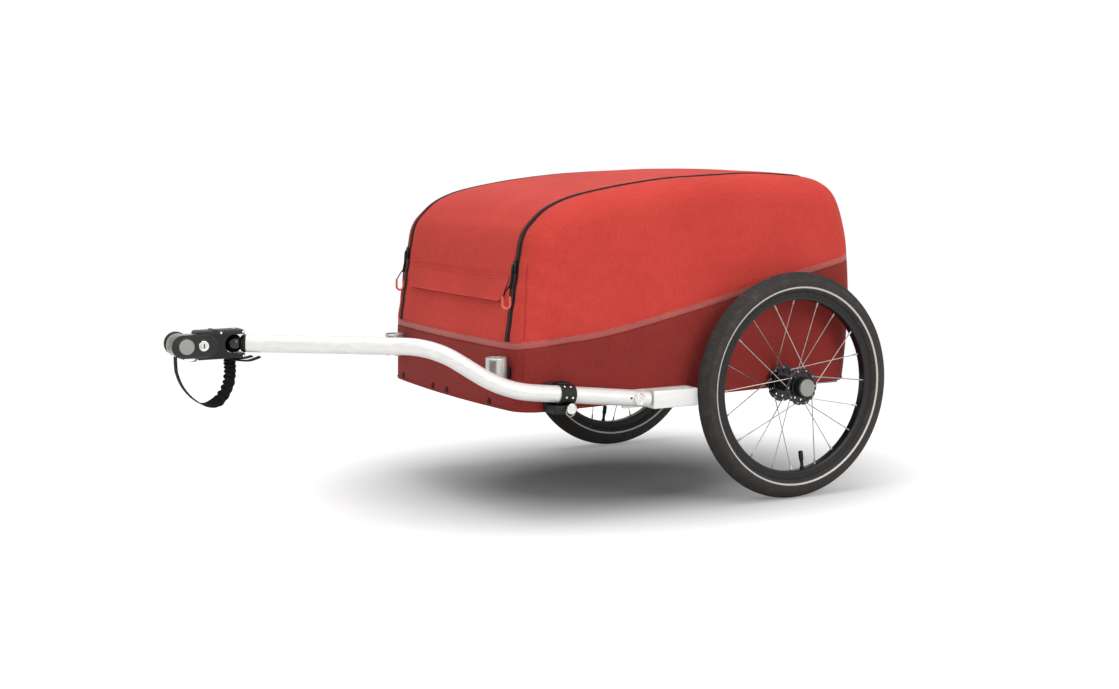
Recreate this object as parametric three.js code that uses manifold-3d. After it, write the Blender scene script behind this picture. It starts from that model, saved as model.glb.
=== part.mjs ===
// Two-wheeled cargo bike trailer with a textile box, a side drawbar and a coupling head.
// Millimetres, +Z up, +X is the trailer's left side, the drawbar points towards -Y.
// Inside the model group the origin lies on the ground, midway between the wheels and under the axle.

import * as THREE from 'three';
import { mergeVertices } from 'three/addons/utils/BufferGeometryUtils.js';
import Module from 'manifold-3d';

const wasm = await Module();
wasm.setup();

// Fits
const fitGap = 0.3;
const cutOverrun = 60;

// Wheels, tyre size 47-406
const wheelRadius = 250;
const wheelTrack = 776;
const tyreWidth = 46;
const beadRadius = 207.5;
const rimWidth = 25;
const rimDepth = 18;
const rimEdgeRound = 4;
const flangeRadius = 40.5;
const flangeThickness = 4;
const flangeOuterOffset = 27;
const flangeInnerOffset = 40;
const spokesPerFlange = 10;
const spokeDiameter = 2.4;
const spokeCircleRadius = 36;
const spokeRimOffset = 4;
const hubBarrelRadius = 17;
const hubCapRadius = 22;
const hubCapOffset = 38;
const hubSpigotLength = 5;
const axleDiameter = 12;
const axleHeadDiameter = 22;
const axleHeadThickness = 3;
const buttonDiameter = 38;
const buttonThickness = 6;
const buttonTravel = 3;
const buttonStemDiameter = 6;
const buttonStemLength = 20;
const valveDiameter = 9;
const valveLength = 40;
const valveSideStep = 27;

// Chassis
const railInset = 39;
const railWidth = 26;
const railHeight = 30;
const railTop = 266;
const railFrontSetback = 24;
const railRearSetback = 39;
const crossMemberDepth = 24;
const crossMemberHeight = 24;
const axleBeamDiameter = 22;
const socketDiameter = 32;
const floorThickness = 6;

// Folding side hoops
const hoopTubeDiameter = 14;
const hoopWallInset = 29;
const hoopNestStep = 26;
const hoopPivotRise = 18;
const hoopPivotStep = 28;
const hoopEyeDiameter = 18;
const hoopEyeLength = 17;
const hoopPinDiameter = 6;
const hoopPinHeadDiameter = 11;
const hoopPinHeadThickness = 2;
const hoopEarThickness = 6;
const hoopEarWidth = 18;

// Textile box
const bagLength = 872;
const bagHeight = 485;
const bagFront = -651;
const bagBottom = 228;
const hubStandOff = 50;
const bagWidth = wheelTrack - 2 * hubStandOff;
const bagEdgeRound = 60;
const bagWall = 4;
const bagCrown = 8;
const bagCrownPower = 4;
const bagSideLean = 8;
const bagRearLift = 17;
const bagSkirt = 100;
const bandWidth = 14;
const zipInset = 67.5;
const zipSpacing = bagWidth - 2 * zipInset;
const zipWidth = 22;
const lidHingeSetback = 133;
const lidHingeY = bagFront + bagLength - lidHingeSetback;
const sliderSetback = 190;
const sliderHeight = bagBottom + bagHeight - sliderSetback;
const sliderLength = 18;
const sliderWidth = 11;
const sliderThickness = 6;
const pullLength = 90;
const pullWidth = 12;
const pullThickness = 3;
const pullSlot = 6;
const flapSetback = 207;
const flapTopHeight = bagBottom + bagHeight - flapSetback;
const flapSideGap = 26.5;
const flapTopWidth = zipSpacing - 2 * flapSideGap;
const flapSideTaper = 10;
const flapBottomWidth = flapTopWidth - 2 * flapSideTaper;
const flapDrop = 56;
const flapThickness = 3;
const flapCornerRound = 22;
const flapCornerShare = 1 / 3;
const rearTabSize = 15;
const rearTabWidth = 6;
const rearTabHeight = 10;
const rearTabInset = 76;
const rearTabSide = bagWidth / 2 - rearTabInset;
const rearTabLevel = 537;
const rearStrapInset = 62;
const rearStrapSide = bagWidth / 2 - rearStrapInset;
const rearStrapSteps = 8;
const rearStrapWidth = 16;
const rearStrapTop = 345;
const rearStrapBottom = 272;
const rearStrapBow = 12;
const rearStrapThickness = 3;

// Front receptacle tubes
const receptacleDiameter = 44;
const receptacleWall = 3;
const receptacleHeight = 50;
const receptacleTop = 342;
const receptacleLeftInset = 53;
const receptacleRightInset = 103;
const receptacleStandOff = 9;
const receptacleLugWidth = 24;
const receptacleLugGap = 0.6;

// Drawbar
const drawbarDiameter = 35;
const drawbarWall = 2;
const drawbarStandOff = 32;
const drawbarSide = bagWidth / 2 + drawbarStandOff;
const drawbarRearY = -368;
const drawbarRearZ = 244.6;
const drawbarKneeY = -705;
const drawbarKneeZ = 284;
const drawbarShoulderX = 314;
const drawbarShoulderY = -835;
const drawbarShoulderZ = 375;
const drawbarTipX = 179;
const drawbarTipY = -1176;
const drawbarTipZ = 388;
const drawbarBendRadius = 215;
const hitchPinY = -399;
const hitchPinDiameter = 8;
const hitchPinHeadDiameter = 26;
const hitchPinHeadThickness = 3.5;

// Drawbar holders on the box's left side
const holderStandOff = 0.6;
const bracketPlateThickness = 10;
const bracketPlateFront = -414;
const bracketBoxFront = -362;
const bracketBoxRear = -252;
const bracketBoxWidth = 38;
const bracketBoxHeight = 38;
const bracketBoxTop = 262;
const bracketBoxWall = 3.5;
const clampFront = -584;
const clampRear = -550;
const clampPlateThickness = 11;
const clampBandThickness = 3.5;
const clampArmFront = -601;
const clampArmRear = -556;
const clampArmTop = 248.5;
const clampArmBottom = 230;
const lockPinY = -564;
const lockPinZ = 241;
const lockPinDiameter = 8;
const lockPinHeadDiameter = 23;
const lockPinHeadThickness = 6;
const lockPinRingDiameter = 23;
const lockPinRingWire = 2;

// Coupling head
const ballDiameter = 37;
const ballSetback = 24;
const ballNeckDiameter = 22;
const ballStemLength = 34;
const collarThickness = 6;
const yokePlateThickness = 9;
const yokeWidth = 42;
const yokeReach = 18;
const yokeBlockStart = 23;
const yokeBlockEnd = 78;
const yokePinDiameter = 8;
const yokePinHeadDiameter = 13;
const yokePinHeadThickness = 2;
const coverLength = 92;
const coverHeight = 46;
const coverThickness = 22;
const coverFaceX = 195;
const coverCentreY = -1281;
const sleeveDiameter = 42;
const sleeveBackX = 124;
const sleevePlateThickness = 20;
const sleeveBoreDiameter = 26;
const sleeveBoreDepth = 44;
const mouthRingDiameter = 46;
const mouthRingThickness = 8;
const pushButtonY = -1298;
const pushButtonDiameter = 30;
const pushButtonTravel = 4;
const pushButtonProud = 3;
const pushButtonStemDiameter = 12;
const lockCylinderY = -1264;
const lockCylinderDiameter = 20;
const lockCylinderProud = 1.5;
const keySlotWidth = 2.4;
const keySlotLength = 9;
const coverFloor = 3.5;
const keySlotDepth = 6;
const clipLength = 28;
const clipWidth = 14;
const clipThickness = 2;
const clipHook = 6;
const strapThickness = 3;
const strapBandWidth = 18;
const strapElasticWidth = 23;
const strapFrontY = -1311;
const strapRearY = -1203;
const strapLow = 262;
const strapCentreX = 161;
const strapSteps = 14;
const strapTurnStartShare = 0.5;
const strapTurnEndShare = 0.75;

// Smoothness of round shapes
const wheelSegments = 48;
const hubSegments = 20;
const pinSegments = 16;
const spokeSides = 4;
const bagOutlineSteps = 34;
const bagRoundSegments = 3;
const bagCrossSteps = 4;
const drawbarSides = 12;
const drawbarSteps = 30;
const hoopSides = 6;
const hoopSteps = 28;
const ringSides = 6;
const ringSegments = 14;
const ballSegments = 16;

// Side outline of the textile box, as shares of its length and height, from the front foot over the top
const bagOutlineShares = [
  [0, 0], [0.0004, 0.148], [0.0014, 0.293], [0.0207, 0.513], [0.0399, 0.726], [0.0681, 0.802],
  [0.1193, 0.872], [0.2206, 0.926], [0.416, 0.977], [0.6103, 0.998], [0.7007, 1], [0.8151, 0.992],
  [0.8725, 0.981], [0.907, 0.963], [0.9357, 0.932], [0.957, 0.882], [0.9749, 0.802], [0.9906, 0.689],
  [0.9977, 0.546], [1, 0.404], [0.9954, 0.2515], [0.9875, 0.1216], [0.9781, 0],
];
// Middle of the reflective band, as shares of the box's length and height
const bandLineShares = [
  [-0.1492, 0.272], [-0.0238, 0.272], [0.0357, 0.289], [0.1057, 0.301], [0.252, 0.328], [0.5011, 0.4185],
  [0.6824, 0.495], [0.8544, 0.563], [1.1045, 0.664],
];

const bodyX = (side) => side * (wheelTrack / 2);

// Finishes: colour, roughness and metalness
const finishes = {
  redFabric: [0xd14b44, 0.85, 0],
  darkRedFabric: [0x8c322e, 0.85, 0],
  bandTape: [0xa85550, 0.6, 0],
  blackWebbing: [0x16161a, 0.9, 0],
  zipTape: [0x2a1a18, 0.7, 0.1],
  tyreRubber: [0x24211f, 0.9, 0],
  blackAlloy: [0x151517, 0.4, 0.3],
  blackPlastic: [0x101012, 0.45, 0],
  silverAlloy: [0xd9dadc, 0.35, 0.8],
  steel: [0xb8babd, 0.3, 1],
  greyPlastic: [0x8f908c, 0.5, 0],
  boardGrey: [0x3a3a3c, 0.8, 0],
};

const trailer = new THREE.Group();
const model = new THREE.Group();
trailer.add(model);

// Solids and placement

function solidOf(geometry) {
  const bare = geometry.clone();
  bare.deleteAttribute('normal');
  bare.deleteAttribute('uv');
  const merged = mergeVertices(bare);
  return new wasm.Manifold(new wasm.Mesh({
    numProp: 3,
    vertProperties: new Float32Array(merged.attributes.position.array),
    triVerts: new Uint32Array(merged.index.array),
  }));
}

function geometryOf(solid) {
  const mesh = solid.getMesh();
  const geometry = new THREE.BufferGeometry();
  geometry.setAttribute('position', new THREE.BufferAttribute(new Float32Array(mesh.vertProperties), mesh.numProp));
  geometry.setIndex(new THREE.BufferAttribute(new Uint32Array(mesh.triVerts), 1));
  geometry.computeVertexNormals();
  return geometry;
}

function addPiece(name, solid, finish) {
  const [color, roughness, metalness] = finishes[finish];
  const material = new THREE.MeshStandardMaterial({ color, roughness, metalness });
  const mesh = new THREE.Mesh(geometryOf(solid), material);
  mesh.name = name;
  model.add(mesh);
}

function block(x, y, z) {
  const [x0, x1] = x;
  const [y0, y1] = y;
  const [z0, z1] = z;
  const box = new THREE.BoxGeometry(x1 - x0, y1 - y0, z1 - z0);
  box.translate((x0 + x1) / 2, (y0 + y1) / 2, (z0 + z1) / 2);
  return solidOf(box);
}

function aimed(geometry, from, to) {
  const direction = to.clone().sub(from).normalize();
  const turn = new THREE.Quaternion().setFromUnitVectors(new THREE.Vector3(0, 1, 0), direction);
  const middle = from.clone().add(to).multiplyScalar(1 / 2);
  geometry.applyQuaternion(turn);
  geometry.translate(middle.x, middle.y, middle.z);
  return solidOf(geometry);
}

function rod(from, to, radius, sides = pinSegments) {
  return aimed(new THREE.CylinderGeometry(radius, radius, from.distanceTo(to), sides), from, to);
}

function rodX(x0, x1, y, z, radius, sides = pinSegments) {
  return rod(new THREE.Vector3(x0, y, z), new THREE.Vector3(x1, y, z), radius, sides);
}

// Turns a profile of [radius, distance along X] points about the X axis through the origin
function turned(profile, segments) {
  const points = profile.map(([radius, along]) => new THREE.Vector2(radius, along));
  points.push(points[0].clone());
  const lathe = new THREE.LatheGeometry(points, segments);
  lathe.rotateZ(-Math.PI / 2);
  return lathe;
}

// Extrudes an outline of [y, z] points along X, from x0 to x1
function slab(outline, x0, x1, holes = []) {
  const shape = new THREE.Shape(outline.map(([y, z]) => new THREE.Vector2(y, z)));
  holes.forEach((hole) => shape.holes.push(new THREE.Path(hole.map(([y, z]) => new THREE.Vector2(y, z)))));
  const extruded = new THREE.ExtrudeGeometry(shape, { depth: x1 - x0, bevelEnabled: false });
  extruded.applyMatrix4(new THREE.Matrix4().makeBasis(
    new THREE.Vector3(0, 1, 0), new THREE.Vector3(0, 0, 1), new THREE.Vector3(1, 0, 0)));
  extruded.translate(x0, 0, 0);
  return solidOf(extruded);
}

function circlePoints(y, z, radius, sides, startTurn = 0, turns = 1) {
  const points = [];
  const last = turns === 1 ? sides - 1 : sides;
  for (let i = 0; i <= last; i += 1) {
    const angle = 2 * Math.PI * (startTurn + turns * (i / sides));
    points.push([y + radius * Math.cos(angle), z + radius * Math.sin(angle)]);
  }
  return points;
}

// An oblong with round ends, long in Y
function oblong(y, z, length, height, sides) {
  const end = (length - height) / 2;
  return [
    ...circlePoints(y + end, z, height / 2, sides, -1 / 4, 1 / 2),
    ...circlePoints(y - end, z, height / 2, sides, 1 / 4, 1 / 2),
  ];
}

// A tube that follows a curve; with a wall it is hollow and open at both ends
function tubeAlong(curve, diameter, wall, sides, steps) {
  const shape = new THREE.Shape(circlePoints(0, 0, diameter / 2, sides).map(([u, v]) => new THREE.Vector2(u, v)));
  if (wall > 0) {
    const bore = circlePoints(0, 0, diameter / 2 - wall, sides).map(([u, v]) => new THREE.Vector2(u, v));
    shape.holes.push(new THREE.Path(bore));
  }
  return solidOf(new THREE.ExtrudeGeometry(shape, { steps, extrudePath: curve, bevelEnabled: false }));
}

// Wheels

const rimInnerRadius = beadRadius - rimDepth - fitGap;
const rimFlatRadius = rimInnerRadius * Math.cos(Math.PI / wheelSegments);
const hubInnerEnd = -(flangeInnerOffset + flangeThickness / 2 + hubSpigotLength);
const boreRadius = axleDiameter / 2 + fitGap;
const axleHeadStart = hubCapOffset + fitGap;
const buttonStart = axleHeadStart + axleHeadThickness + buttonTravel + fitGap;
const buttonEnd = buttonStart + buttonThickness;

function tyreProfile() {
  const crown = wheelRadius - beadRadius;
  const shares = [
    [0, -0.27], [0.12, -0.4], [0.35, -0.5], [0.62, -0.47], [0.84, -0.33], [0.965, -0.15],
    [1, 0], [0.965, 0.15], [0.84, 0.33], [0.62, 0.47], [0.35, 0.5], [0.12, 0.4], [0, 0.27],
  ];
  return shares.map(([rise, across]) => [beadRadius + crown * rise, tyreWidth * across]);
}

function rimProfile() {
  const half = rimWidth / 2;
  const top = beadRadius - fitGap;
  return [
    [rimInnerRadius, -half + rimEdgeRound], [rimInnerRadius + rimEdgeRound, -half], [top, -half],
    [top, half], [rimInnerRadius + rimEdgeRound, half], [rimInnerRadius, half - rimEdgeRound],
  ];
}

function flangeWithSpokes(offset, rimOffset, phase) {
  const half = flangeThickness / 2;
  const barrel = hubBarrelRadius + fitGap;
  let solid = solidOf(turned([
    [barrel, offset - half], [flangeRadius, offset - half], [flangeRadius, offset + half], [barrel, offset + half],
  ], hubSegments));
  const pitch = (2 * Math.PI) / spokesPerFlange;
  for (let i = 0; i < spokesPerFlange; i += 1) {
    const hubAngle = pitch * (i + phase);
    const rimAngle = hubAngle + (i % 2 === 0 ? pitch : -pitch);
    const reach = rimFlatRadius - 2 * fitGap;
    const from = new THREE.Vector3(offset, spokeCircleRadius * Math.cos(hubAngle), spokeCircleRadius * Math.sin(hubAngle));
    const to = new THREE.Vector3(rimOffset, reach * Math.cos(rimAngle), reach * Math.sin(rimAngle));
    solid = solid.add(rod(from, to, spokeDiameter / 2, spokeSides));
  }
  return solid;
}

function hubShell() {
  const outer = flangeOuterOffset + flangeThickness / 2 + fitGap;
  return solidOf(turned([
    [boreRadius, hubInnerEnd], [hubBarrelRadius, hubInnerEnd], [hubBarrelRadius, outer],
    [hubCapRadius, outer], [hubCapRadius, hubCapOffset], [boreRadius, hubCapOffset],
  ], hubSegments));
}

function axleStub(innerEnd) {
  const radius = axleDiameter / 2;
  const drill = buttonStemDiameter / 2 + fitGap;
  const drillEnd = buttonStart - buttonStemLength - buttonTravel - fitGap;
  return solidOf(turned([
    [0, innerEnd], [radius, innerEnd], [radius, axleHeadStart], [axleHeadDiameter / 2, axleHeadStart],
    [axleHeadDiameter / 2, axleHeadStart + axleHeadThickness], [drill, axleHeadStart + axleHeadThickness],
    [drill, drillEnd], [0, drillEnd],
  ], hubSegments));
}

function releaseButton() {
  const stem = buttonStemDiameter / 2;
  return solidOf(turned([
    [0, buttonStart - buttonStemLength], [stem, buttonStart - buttonStemLength], [stem, buttonStart],
    [buttonDiameter / 2, buttonStart], [buttonDiameter / 2, buttonEnd], [0, buttonEnd],
  ], hubSegments));
}

function valve() {
  const angle = Math.asin(valveSideStep / rimInnerRadius);
  const outward = new THREE.Vector3(0, Math.sin(angle), -Math.cos(angle));
  const from = outward.clone().multiplyScalar(rimFlatRadius - fitGap);
  const to = outward.clone().multiplyScalar(rimInnerRadius - valveLength);
  return rod(from, to, valveDiameter / 2, pinSegments);
}

const railSpacing = bagWidth - 2 * railInset;
const railFront = bagFront + railFrontSetback;
const railRear = bagFront + bagLength - railRearSetback;
const railOuter = railSpacing / 2 + railWidth / 2;
const railInner = railSpacing / 2 - railWidth / 2;

function addWheel(side, label) {
  const place = (solid) => {
    const geometry = geometryOf(solid);
    geometry.rotateZ(side > 0 ? 0 : Math.PI);
    geometry.translate(bodyX(side), 0, wheelRadius);
    return solidOf(geometry);
  };
  const stubInner = railInner - wheelTrack / 2;
  addPiece(`tyre_${label}`, place(solidOf(turned(tyreProfile(), wheelSegments))), 'tyreRubber');
  addPiece(`rim_${label}`, place(solidOf(turned(rimProfile(), wheelSegments))), 'blackAlloy');
  addPiece(`hub_shell_${label}`, place(hubShell()), 'blackAlloy');
  addPiece(`spokes_outer_${label}`, place(flangeWithSpokes(flangeOuterOffset, spokeRimOffset, 0)), 'steel');
  addPiece(`spokes_inner_${label}`, place(flangeWithSpokes(-flangeInnerOffset, -spokeRimOffset, 1 / 2)), 'steel');
  addPiece(`valve_${label}`, place(valve()), 'blackPlastic');
  addPiece(`axle_${label}`, place(axleStub(stubInner)), 'steel');
  addPiece(`release_button_${label}`, place(releaseButton()), 'greyPlastic');
}

addWheel(1, 'left');
addWheel(-1, 'right');

// Outline and skin of the textile box

function bagCurvePoints() {
  const places = bagOutlineShares.map(([along, up]) => (
    new THREE.Vector3(bagFront + bagLength * along, bagBottom + bagHeight * up, 0)));
  const curve = new THREE.CatmullRomCurve3(places, false, 'centripetal');
  return curve.getSpacedPoints(bagOutlineSteps).map((point) => [point.x, point.y]);
}

// Moves each point of an open outline inwards, square to its neighbours
function insetOutline(points, inset) {
  return points.map((point, i) => {
    const before = points[Math.max(i - 1, 0)];
    const after = points[Math.min(i + 1, points.length - 1)];
    const run = Math.hypot(after[0] - before[0], after[1] - before[1]);
    const inwardY = (after[1] - before[1]) / run;
    const inwardZ = -(after[0] - before[0]) / run;
    return [point[0] + inset * inwardY, point[1] + inset * inwardZ];
  });
}

function bagLevel(y) {
  const points = bagCurvePoints();
  for (let i = 1; i < points.length; i += 1) {
    const [y0, z0] = points[i - 1];
    const [y1, z1] = points[i];
    if (y0 <= y && y <= y1) {
      return z0 + ((z1 - z0) * (y - y0)) / (y1 - y0);
    }
  }
  return bagBottom;
}

function bagFrontAt(z) {
  const points = bagCurvePoints();
  for (let i = 1; i < points.length; i += 1) {
    const [y0, z0] = points[i - 1];
    const [y1, z1] = points[i];
    if (z0 <= z && z <= z1) {
      return y0 + ((y1 - y0) * (z - z0)) / (z1 - z0);
    }
  }
  return bagFront;
}

function bagBody(inset) {
  const skin = insetOutline(bagCurvePoints(), inset);
  const first = skin[0];
  const last = skin[skin.length - 1];
  const outline = [[first[0], first[1] - bagSkirt], ...skin, [last[0], last[1] - bagSkirt]];
  const shape = new THREE.Shape(outline.map(([y, z]) => new THREE.Vector2(y, z)));
  const round = bagEdgeRound - inset;
  const depth = bagWidth - 2 * bagEdgeRound;
  const geometry = new THREE.ExtrudeGeometry(shape, {
    depth,
    steps: bagCrossSteps,
    bevelEnabled: true,
    bevelThickness: round,
    bevelSize: round,
    bevelOffset: -round,
    bevelSegments: bagRoundSegments,
  });
  geometry.applyMatrix4(new THREE.Matrix4().makeBasis(
    new THREE.Vector3(0, 1, 0), new THREE.Vector3(0, 0, 1), new THREE.Vector3(1, 0, 0)));
  geometry.translate(-depth / 2, 0, 0);
  const position = geometry.attributes.position;
  for (let i = 0; i < position.count; i += 1) {
    const rise = Math.max(0, (position.getZ(i) - bagBottom) / bagHeight);
    const lean = 1 - ((2 * bagSideLean) / bagWidth) * rise;
    const x = position.getX(i);
    const crown = Math.max(0, 1 - (x / (depth / 2)) ** 2);
    position.setX(i, x * lean);
    position.setZ(i, position.getZ(i) + bagCrown * crown * Math.min(1, rise) ** bagCrownPower);
  }
  return solidOf(geometry);
}

function bandLine(shift) {
  return bandLineShares.map(([along, up]) => [bagFront + bagLength * along, bagBottom + bagHeight * up + shift]);
}

const bagRear = bagFront + bagLength;
const bagTop = bagBottom + bagHeight;
const bagHalf = bagWidth / 2;

function aboveBand(shift) {
  const line = bandLine(shift);
  const [frontY] = line[0];
  const [rearY] = line[line.length - 1];
  return slab([...line, [rearY, bagTop + cutOverrun], [frontY, bagTop + cutOverrun]],
    -bagHalf - cutOverrun, bagHalf + cutOverrun);
}

function aboveBottom() {
  const front = bagFront - cutOverrun;
  const rear = bagRear + cutOverrun;
  const slope = bagRearLift / bagLength;
  return slab([
    [front, bagBottom - slope * cutOverrun], [rear, bagBottom + bagRearLift + slope * cutOverrun],
    [rear, bagTop + cutOverrun], [front, bagTop + cutOverrun],
  ], -bagHalf - cutOverrun, bagHalf + cutOverrun);
}

const skin = bagBody(0).subtract(bagBody(bagWall)).intersect(aboveBottom());
const seam = fitGap / 2;
const halfBand = bandWidth / 2;
const zipInner = zipSpacing / 2 - zipWidth / 2;
const zipOuter = zipSpacing / 2 + zipWidth / 2;
const everywhere = [bagFront - cutOverrun, bagRear + cutOverrun];
const allHeights = [bagBottom - cutOverrun, bagTop + cutOverrun];

function bagPieces() {
  const upper = skin.intersect(aboveBand(halfBand + seam));
  const band = skin.intersect(aboveBand(-halfBand + seam)).subtract(aboveBand(halfBand - seam));
  let tub = skin.subtract(aboveBand(-halfBand - seam));
  [1, -1].forEach((side) => {
    const hole = socketDiameter / 2 + fitGap;
    tub = tub.subtract(rodX(side * railOuter, side * (bagHalf + cutOverrun), 0, wheelRadius, hole, hubSegments));
  });
  const lidZone = block([-zipInner + seam, zipInner - seam], [everywhere[0], lidHingeY - seam], allHeights);
  const openZone = block([-zipOuter - seam, zipOuter + seam], [everywhere[0], lidHingeY + seam], allHeights);
  addPiece('tub_fabric', tub, 'darkRedFabric');
  addPiece('reflective_band', band, 'bandTape');
  addPiece('side_cover', upper.subtract(openZone), 'redFabric');
  addPiece('lid_panel', upper.intersect(lidZone), 'redFabric');
  [[1, 'left'], [-1, 'right']].forEach(([side, label]) => {
    const edges = [side * (zipInner + seam), side * (zipOuter - seam)].sort((a, b) => a - b);
    const zipZone = block(edges, [everywhere[0], lidHingeY - seam], allHeights);
    addPiece(`zip_${label}`, upper.intersect(zipZone), 'zipTape');
  });
}

bagPieces();

// Zip sliders, handle flap, rear tab and rear strap

const frontLow = bandLine(halfBand)[1][1] + pullSlot;
const frontLean = Math.atan2(bagFrontAt(flapTopHeight) - bagFrontAt(frontLow), flapTopHeight - frontLow);

// Turns a geometry that faces -Y to lie along the box's leaning front, with its foot point at a height
function onFront(geometry, x, z) {
  geometry.rotateX(-frontLean);
  geometry.translate(x, bagFrontAt(z), z);
  return solidOf(geometry);
}

function frontPlate(outline, lift, thickness) {
  const shape = new THREE.Shape(outline.map(([x, z]) => new THREE.Vector2(x, z)));
  const plate = new THREE.ExtrudeGeometry(shape, { depth: thickness, bevelEnabled: false });
  plate.rotateX(Math.PI / 2);
  plate.translate(0, -lift, 0);
  return plate;
}

const frontLift = 0.5;

function zipSlider(side) {
  const half = sliderWidth / 2;
  const foot = frontPlate([
    [-half, -sliderLength / 2], [half, -sliderLength / 2], [half, sliderLength / 2], [-half, sliderLength / 2],
  ], frontLift, sliderThickness);
  const width = pullWidth / 2;
  const inner = width - pullSlot / 2;
  const shape = new THREE.Shape([
    new THREE.Vector2(-width, -pullLength + width), new THREE.Vector2(-inner, -pullLength),
    new THREE.Vector2(inner, -pullLength), new THREE.Vector2(width, -pullLength + width),
    new THREE.Vector2(width, 0), new THREE.Vector2(-width, 0),
  ]);
  const slot = pullSlot / 2;
  shape.holes.push(new THREE.Path([
    new THREE.Vector2(-slot, -pullLength / 2), new THREE.Vector2(slot, -pullLength / 2),
    new THREE.Vector2(slot, -pullLength + pullWidth), new THREE.Vector2(-slot, -pullLength + pullWidth),
  ]));
  const pull = new THREE.ExtrudeGeometry(shape, { depth: pullThickness, bevelEnabled: false });
  pull.rotateX(Math.PI / 2);
  pull.translate(0, -frontLift - (sliderThickness - pullThickness) / 2, 0);
  const x = side * (zipSpacing / 2);
  return onFront(foot, x, sliderHeight).add(onFront(pull, x, sliderHeight));
}

function flapOutline() {
  const top = flapTopWidth / 2;
  const low = flapBottomWidth / 2;
  const corner = flapCornerRound;
  const rise = corner * flapCornerShare;
  const side = (top + low) / 2;
  return [
    [-top, 0], [-side, -flapDrop / 2], [-low, rise - flapDrop], [-low + corner, -flapDrop],
    [low - corner, -flapDrop], [low, rise - flapDrop], [side, -flapDrop / 2], [top, 0],
  ];
}

function bowedStrip() {
  const points = [];
  const back = [];
  for (let i = 0; i <= rearStrapSteps; i += 1) {
    const share = i / rearStrapSteps;
    const z = rearStrapTop + (rearStrapBottom - rearStrapTop) * share;
    const wallY = bagRearAt(z) + fitGap + fitGap;
    const bow = rearStrapBow * Math.sin(Math.PI * share) ** 2;
    points.push([wallY + bow, z]);
    back.unshift([wallY + bow + rearStrapThickness, z]);
  }
  return slab([...points, ...back], rearStrapSide - rearStrapWidth, rearStrapSide);
}

function bagRearAt(z) {
  const points = bagCurvePoints();
  for (let i = points.length - 1; i > 0; i -= 1) {
    const [y0, z0] = points[i - 1];
    const [y1, z1] = points[i];
    if (z1 <= z && z <= z0) {
      return y0 + ((y1 - y0) * (z - z0)) / (z1 - z0);
    }
  }
  return bagRear;
}

addPiece('zip_slider_left', zipSlider(1), 'blackPlastic');
addPiece('zip_slider_right', zipSlider(-1), 'blackPlastic');
addPiece('handle_flap', onFront(frontPlate(flapOutline(), frontLift, flapThickness), 0, flapTopHeight), 'redFabric');
const tabStart = bagRearAt(rearTabLevel - rearTabHeight / 2) + fitGap;
addPiece('rear_tab', block([rearTabSide, rearTabSide + rearTabWidth], [tabStart, tabStart + rearTabSize],
  [rearTabLevel - rearTabHeight / 2, rearTabLevel + rearTabHeight / 2]), 'blackWebbing');
addPiece('rear_strap', bowedStrip(), 'blackWebbing');

// Chassis

const beamRadius = axleBeamDiameter / 2;
const floorBottom = railTop + fitGap;
const hoopFeet = { left: railTop + hoopPivotRise + hoopPivotStep, right: railTop + hoopPivotRise };

// The hoop runs inside the box's outline, from its front foot to its rear foot
function hoopRoute(label) {
  const inset = hoopWallInset + (label === 'left' ? 0 : hoopNestStep);
  const pivot = hoopFeet[label];
  const inner = insetOutline(bagCurvePoints(), inset).filter(([, z]) => z > pivot + hoopEyeDiameter);
  const front = inner[0];
  const rear = inner[inner.length - 1];
  return [[front[0], pivot], ...inner, [rear[0], pivot]];
}

function hoopFootPlaces(label) {
  const route = hoopRoute(label);
  return [[route[0][0], 1], [route[route.length - 1][0], -1]];
}

function addRail(side, label) {
  const x = side * (railSpacing / 2);
  const half = railWidth / 2;
  let rail = block([x - half, x + half], [railFront, railRear], [railTop - railHeight, railTop]);
  hoopFootPlaces(label).forEach(([y, facing]) => {
    const near = y + facing * (hoopEyeLength / 2 + fitGap);
    const far = near + facing * hoopEarThickness;
    const ear = hoopEarWidth / 2;
    const pivot = hoopFeet[label];
    const ends = [near, far].sort((a, b) => a - b);
    rail = rail.add(block([x - ear, x + ear], ends, [railTop - ear, pivot + ear]));
    rail = rail.subtract(rod(new THREE.Vector3(x, ends[0] - cutOverrun / 2, pivot),
      new THREE.Vector3(x, ends[1] + cutOverrun / 2, pivot), hoopPinDiameter / 2 + fitGap));
  });
  rail = rail.subtract(rodX(x - railWidth, x + railWidth, 0, wheelRadius, beamRadius + fitGap, hubSegments));
  addPiece(`side_rail_${label}`, rail, 'silverAlloy');
}

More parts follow.
